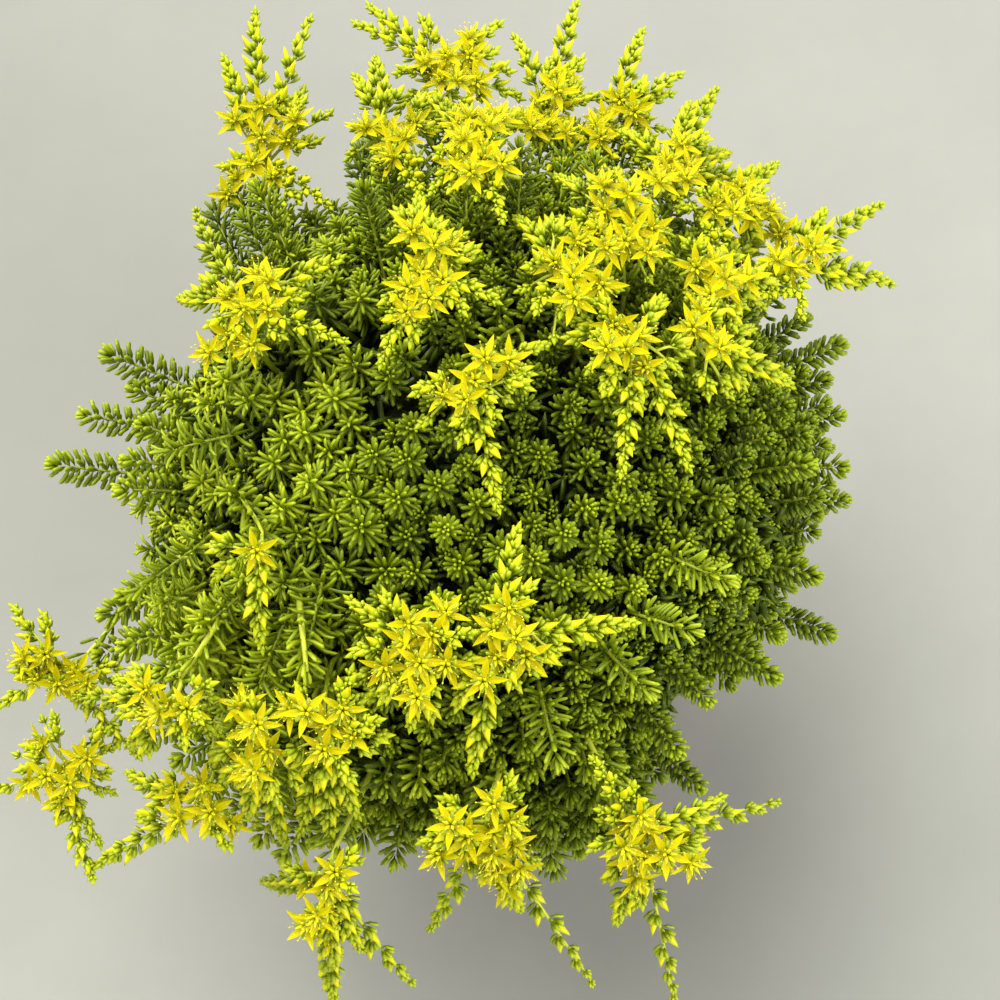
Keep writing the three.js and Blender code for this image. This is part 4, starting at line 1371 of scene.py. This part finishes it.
def dress_spray(name, root_seen, fork_seen, tips, lift):
    root = over_cushion(*root_seen, -ROOT_DEPTH)
    fork = over_cushion(*fork_seen, lift)
    up = (outward(fork) * 0.5 + TOWARD * 0.7).normalized()
    creeping = root_seen[0] < CREEPING_BEFORE
    stem_radius = CREEPING_RADIUS if creeping else STEM_RADIUS
    leaf_pitch = CREEPING_LEAF_PITCH if creeping else STEM_LEAF_PITCH
    stem_paths, leaves, bracts, flowers, buds = [], [], [], [], []
    branches = spray_branches(root, fork, up, fork_seen, tips, lift)
    for b, (path, start, open_count, aside) in enumerate(branches):
        thick = stem_radius if b == 0 else SIDE_BRANCH_RADIUS if aside else BRANCH_RADIUS
        radii = [thick - (thick - TIP_RADIUS) * end / path.length for end in path.ends]
        stem_paths.append([*list(zip(path.points, radii))[::3], (path.points[-1], 0.16)])
        if b == 0:
            leaves += stem_leaves(path, start, up, leaf_pitch)
        if aside:
            opened, budding = side_branch_sites(path.length, fork_seen[1] < HANGING_BELOW)
        else:
            opened, budding = branch_sites(start + (1.5 if b == 0 else 3), path.length, open_count)
        for k, at in enumerate(opened):
            flower, pair = open_flower(path, at, up, FLOWER_ROW if (k + b) % 2 else -FLOWER_ROW)
            flowers += flower
            bracts += pair
        for k, (at, age) in enumerate(budding):
            row = (BUD_ROW if (k + b) % 2 else -BUD_ROW) * (0.5 + 0.5 * age)
            bud, bract = closed_bud(path, at, age, up, row)
            buds.append(bud)
            bracts += bract
    stems = stem_mesh(f"stems_of_{name}", stem_paths)
    reach = [outward(Vector(v.co)).dot(Vector(v.co) - CENTRE) for v in stems.data.vertices]
    store(stems, "tone", [(0.85 if creeping else 0.35) + 0.03 * max(0, depth - 48) for depth in reach])
    green = [(*row, 0.6 + random.normal(0, 0.06)) for row in leaves]
    pale = [(*row, 1.15 + random.normal(0, 0.1)) for row in bracts]
    piece = copies(f"blooms_{name}", [
        (stems, [np.eye(4)], {}),
        leaf_batch(leaf_model, green),
        leaf_batch(small_leaf, pale),
        (flower_model, flowers, {"tone": random.normal(0, 0.12, len(flowers))}),
        (budding_model, [place for place, _ in buds], {"young": [young for _, young in buds]}),
    ], MM)
    bpy.data.objects.remove(stems)
    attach(piece, "root")
    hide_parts(f"spray_{name}")
    return len(flowers), len(buds)


counts = [dress_spray(*spray) for spray in SPRAYS]
print("flowers:", sum(c[0] for c in counts), "buds:", sum(c[1] for c in counts))

# %% [markdown]
# ## The pot and its soil
#
# The pot is a plain tapered nursery pot with a rolled rim. It is drawn as a circle whose edge is extruded and
# scaled from one height to the next, up the outside, over the rim and down the inside. The drainage holes are
# cut with Boolean modifiers.

# %% Turn a body from a circle
POT_RIM_RADIUS = 50
POT_FOOT_RADIUS = 35
POT_WALL = 2.4
POT_FLOOR = 3
RIM_DEPTH = 11
RIM_STEP = 1.8
DRAIN_HOLES = 5
DRAIN_RADIUS = 3.2
DRAIN_RING = 24
POT_SIDES = 96


def pot_radius(z):
    """The pot's outer radius under its rim at a height."""
    return POT_FOOT_RADIUS + (POT_RIM_RADIUS - RIM_STEP - POT_FOOT_RADIUS) * z / POT_HEIGHT


def inside_radius(z):
    return pot_radius(z) - POT_WALL


def turned_body(name, profile):
    """A closed round body in metres: the profile's (radius, height) pairs are in millimetres, from the middle
    of the foot round to the middle of the inside or top."""
    radius, height = profile[0]
    bpy.ops.object.select_all(action="DESELECT")
    bpy.ops.mesh.primitive_circle_add(
        vertices=POT_SIDES, radius=radius * MM, fill_type="NGON", location=(0, 0, height * MM)
    )
    piece = start_piece(name)
    bpy.ops.object.transform_apply(location=True)
    bpy.ops.object.mode_set(mode="EDIT")
    bpy.ops.mesh.select_all(action="SELECT")
    bpy.ops.mesh.flip_normals()
    bpy.context.tool_settings.mesh_select_mode = (False, True, False)
    bpy.ops.mesh.select_all(action="DESELECT")
    bpy.ops.mesh.select_non_manifold()
    for (r0, z0), (r1, z1) in zip(profile, profile[1:]):
        bpy.ops.mesh.extrude_edges_move(TRANSFORM_OT_translate={"value": (0, 0, (z1 - z0) * MM)})
        bpy.ops.transform.resize(value=(r1 / r0, r1 / r0, 1))
    bpy.ops.mesh.edge_face_add()
    bpy.ops.mesh.select_all(action="SELECT")
    bpy.ops.mesh.normals_make_consistent(inside=False)
    bpy.context.tool_settings.mesh_select_mode = (True, False, False)
    bpy.ops.object.mode_set(mode="OBJECT")
    return piece


# %% The pot
def model_pot():
    under_rim = POT_HEIGHT - RIM_DEPTH
    piece = turned_body("nursery_pot", [
        (POT_FOOT_RADIUS - 6, 0),
        (POT_FOOT_RADIUS - 1.2, 0),
        (POT_FOOT_RADIUS - 0.3, 0.35),
        (POT_FOOT_RADIUS, 1.2),
        (pot_radius(under_rim - 1), under_rim - 1),
        (pot_radius(under_rim) + 0.3, under_rim - 0.2),
        (pot_radius(under_rim) + RIM_STEP - 0.4, under_rim + 0.2),
        (pot_radius(under_rim) + RIM_STEP, under_rim + 0.9),
        (POT_RIM_RADIUS, POT_HEIGHT - 1.2),
        (POT_RIM_RADIUS - 0.4, POT_HEIGHT - 0.3),
        (POT_RIM_RADIUS - 1.2, POT_HEIGHT),
        (inside_radius(POT_HEIGHT) + 0.8, POT_HEIGHT),
        (inside_radius(POT_HEIGHT), POT_HEIGHT - 0.7),
        (inside_radius(POT_FLOOR) + 0.4, POT_FLOOR + 1.6),
        (inside_radius(POT_FLOOR) - 1, POT_FLOOR),
    ])
    for k in range(DRAIN_HOLES):
        angle = 2 * math.pi * k / DRAIN_HOLES
        place = (DRAIN_RING * MM * math.cos(angle), DRAIN_RING * MM * math.sin(angle), 0)
        bpy.ops.mesh.primitive_cylinder_add(
            vertices=32, radius=DRAIN_RADIUS * MM, depth=4 * POT_FLOOR * MM, location=place
        )
        drill = bpy.context.object
        cut = piece.modifiers.new("drain", "BOOLEAN")
        cut.operation = "DIFFERENCE"
        cut.object = drill
        bpy.context.view_layer.objects.active = piece
        bpy.ops.object.modifier_apply(modifier=cut.name)
        bpy.data.objects.remove(drill)
    select_only(piece)
    bpy.ops.object.shade_smooth_by_angle(angle=math.radians(35))
    return piece


TERRACOTTA = earthy_material("pot_plastic", [(0.2, 0.062, 0.03), (0.3, 0.1, 0.052)], 900, 0.55, 0.12, 0.0003)
pot_piece = model_pot()
pot_piece.data.materials.append(TERRACOTTA)
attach(pot_piece, "root")
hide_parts("pot")
print("pot faces:", len(pot_piece.data.polygons))

# %% [markdown]
# The soil is a plug of dark crumbled mix that ends a little under the rim. It is turned like the pot, and its
# crumbs come from the noise of its finish.

# %% The soil
SOIL_GAP = 0.5
SOIL = earthy_material("potting_soil", [(0.006, 0.004, 0.003), (0.06, 0.035, 0.018)], 420, 0.95, 1.0, 0.0015)
top_radius = inside_radius(SOIL_TOP) - SOIL_GAP
soil_piece = turned_body("potting_soil", [
    (inside_radius(POT_FLOOR + 0.4) - SOIL_GAP, POT_FLOOR + 0.4),
    (top_radius, SOIL_TOP - 0.4),
    (top_radius * 0.75, SOIL_TOP),
    (top_radius * 0.5, SOIL_TOP - 0.3),
    (top_radius * 0.2, SOIL_TOP),
])
soil_piece.data.materials.append(SOIL)
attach(soil_piece, "root")
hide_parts("soil")

# %% [markdown]
# ## The studio
#
# The plant stands on a pale floor that fills the picture. The key lamp is a sun at the upper left with so
# wide a disk that its shadows have soft edges. A weak round lamp at the right opens the shadows, and a pale
# sky keeps the gaps between the shoots from going black.

# %% Floor, lamps and sky
models = [leaf_model, arched_leaf, small_leaf, dead_leaf, bud_model, stamen_model, carpel_model, petal_model]
models += [flower_model, budding_model, shoot_stems, trailing_stems]
for model in models:
    bpy.data.objects.remove(model)

FLOOR_COLOURS = [(0.3, 0.305, 0.272), (0.33, 0.335, 0.3)]
bpy.ops.mesh.primitive_plane_add(size=16)
floor = start_piece("floor")
floor.data.materials.append(earthy_material("pale_floor", FLOOR_COLOURS, 14, 0.9, 0.05, 0.001))


def aimed_lamp(kind, name, place, energy, colour):
    """A lamp that looks at the cushion from a place given in millimetres from its centre."""
    bpy.ops.object.light_add(type=kind, location=(CENTRE + place) * MM)
    lamp = bpy.context.object
    lamp.name = name
    lamp.data.energy = energy
    lamp.data.color = colour
    lamp.rotation_euler = (CENTRE * MM - lamp.location).to_track_quat("-Z", "Y").to_euler()
    return lamp


key_place = UPWARD * 1000 + TOWARD * 820 - ACROSS * 500
key_lamp = aimed_lamp("SUN", "key_lamp", key_place, 4.6, (1.0, 0.985, 0.94))
key_lamp.data.angle = math.radians(56)
fill_place = ACROSS * 900 - UPWARD * 300 + TOWARD * 800
fill_lamp = aimed_lamp("AREA", "fill_lamp", fill_place, 15, (0.97, 0.98, 1.0))
fill_lamp.data.shape = "DISK"
fill_lamp.data.size = 1.2
world = bpy.data.worlds.new("sky")
world.use_nodes = True
world.node_tree.nodes["Background"].inputs["Color"].default_value = (1.0, 1.0, 0.96, 1)
world.node_tree.nodes["Background"].inputs["Strength"].default_value = 0.5
bpy.context.scene.world = world
bpy.context.scene.view_settings.view_transform = "Standard"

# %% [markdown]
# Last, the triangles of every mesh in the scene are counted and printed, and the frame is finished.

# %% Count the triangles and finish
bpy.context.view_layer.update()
meshes = [piece.data for piece in bpy.data.objects if piece.type == "MESH"]
print("triangles with the solids:", sum(len(face.vertices) - 2 for mesh in meshes for face in mesh.polygons))
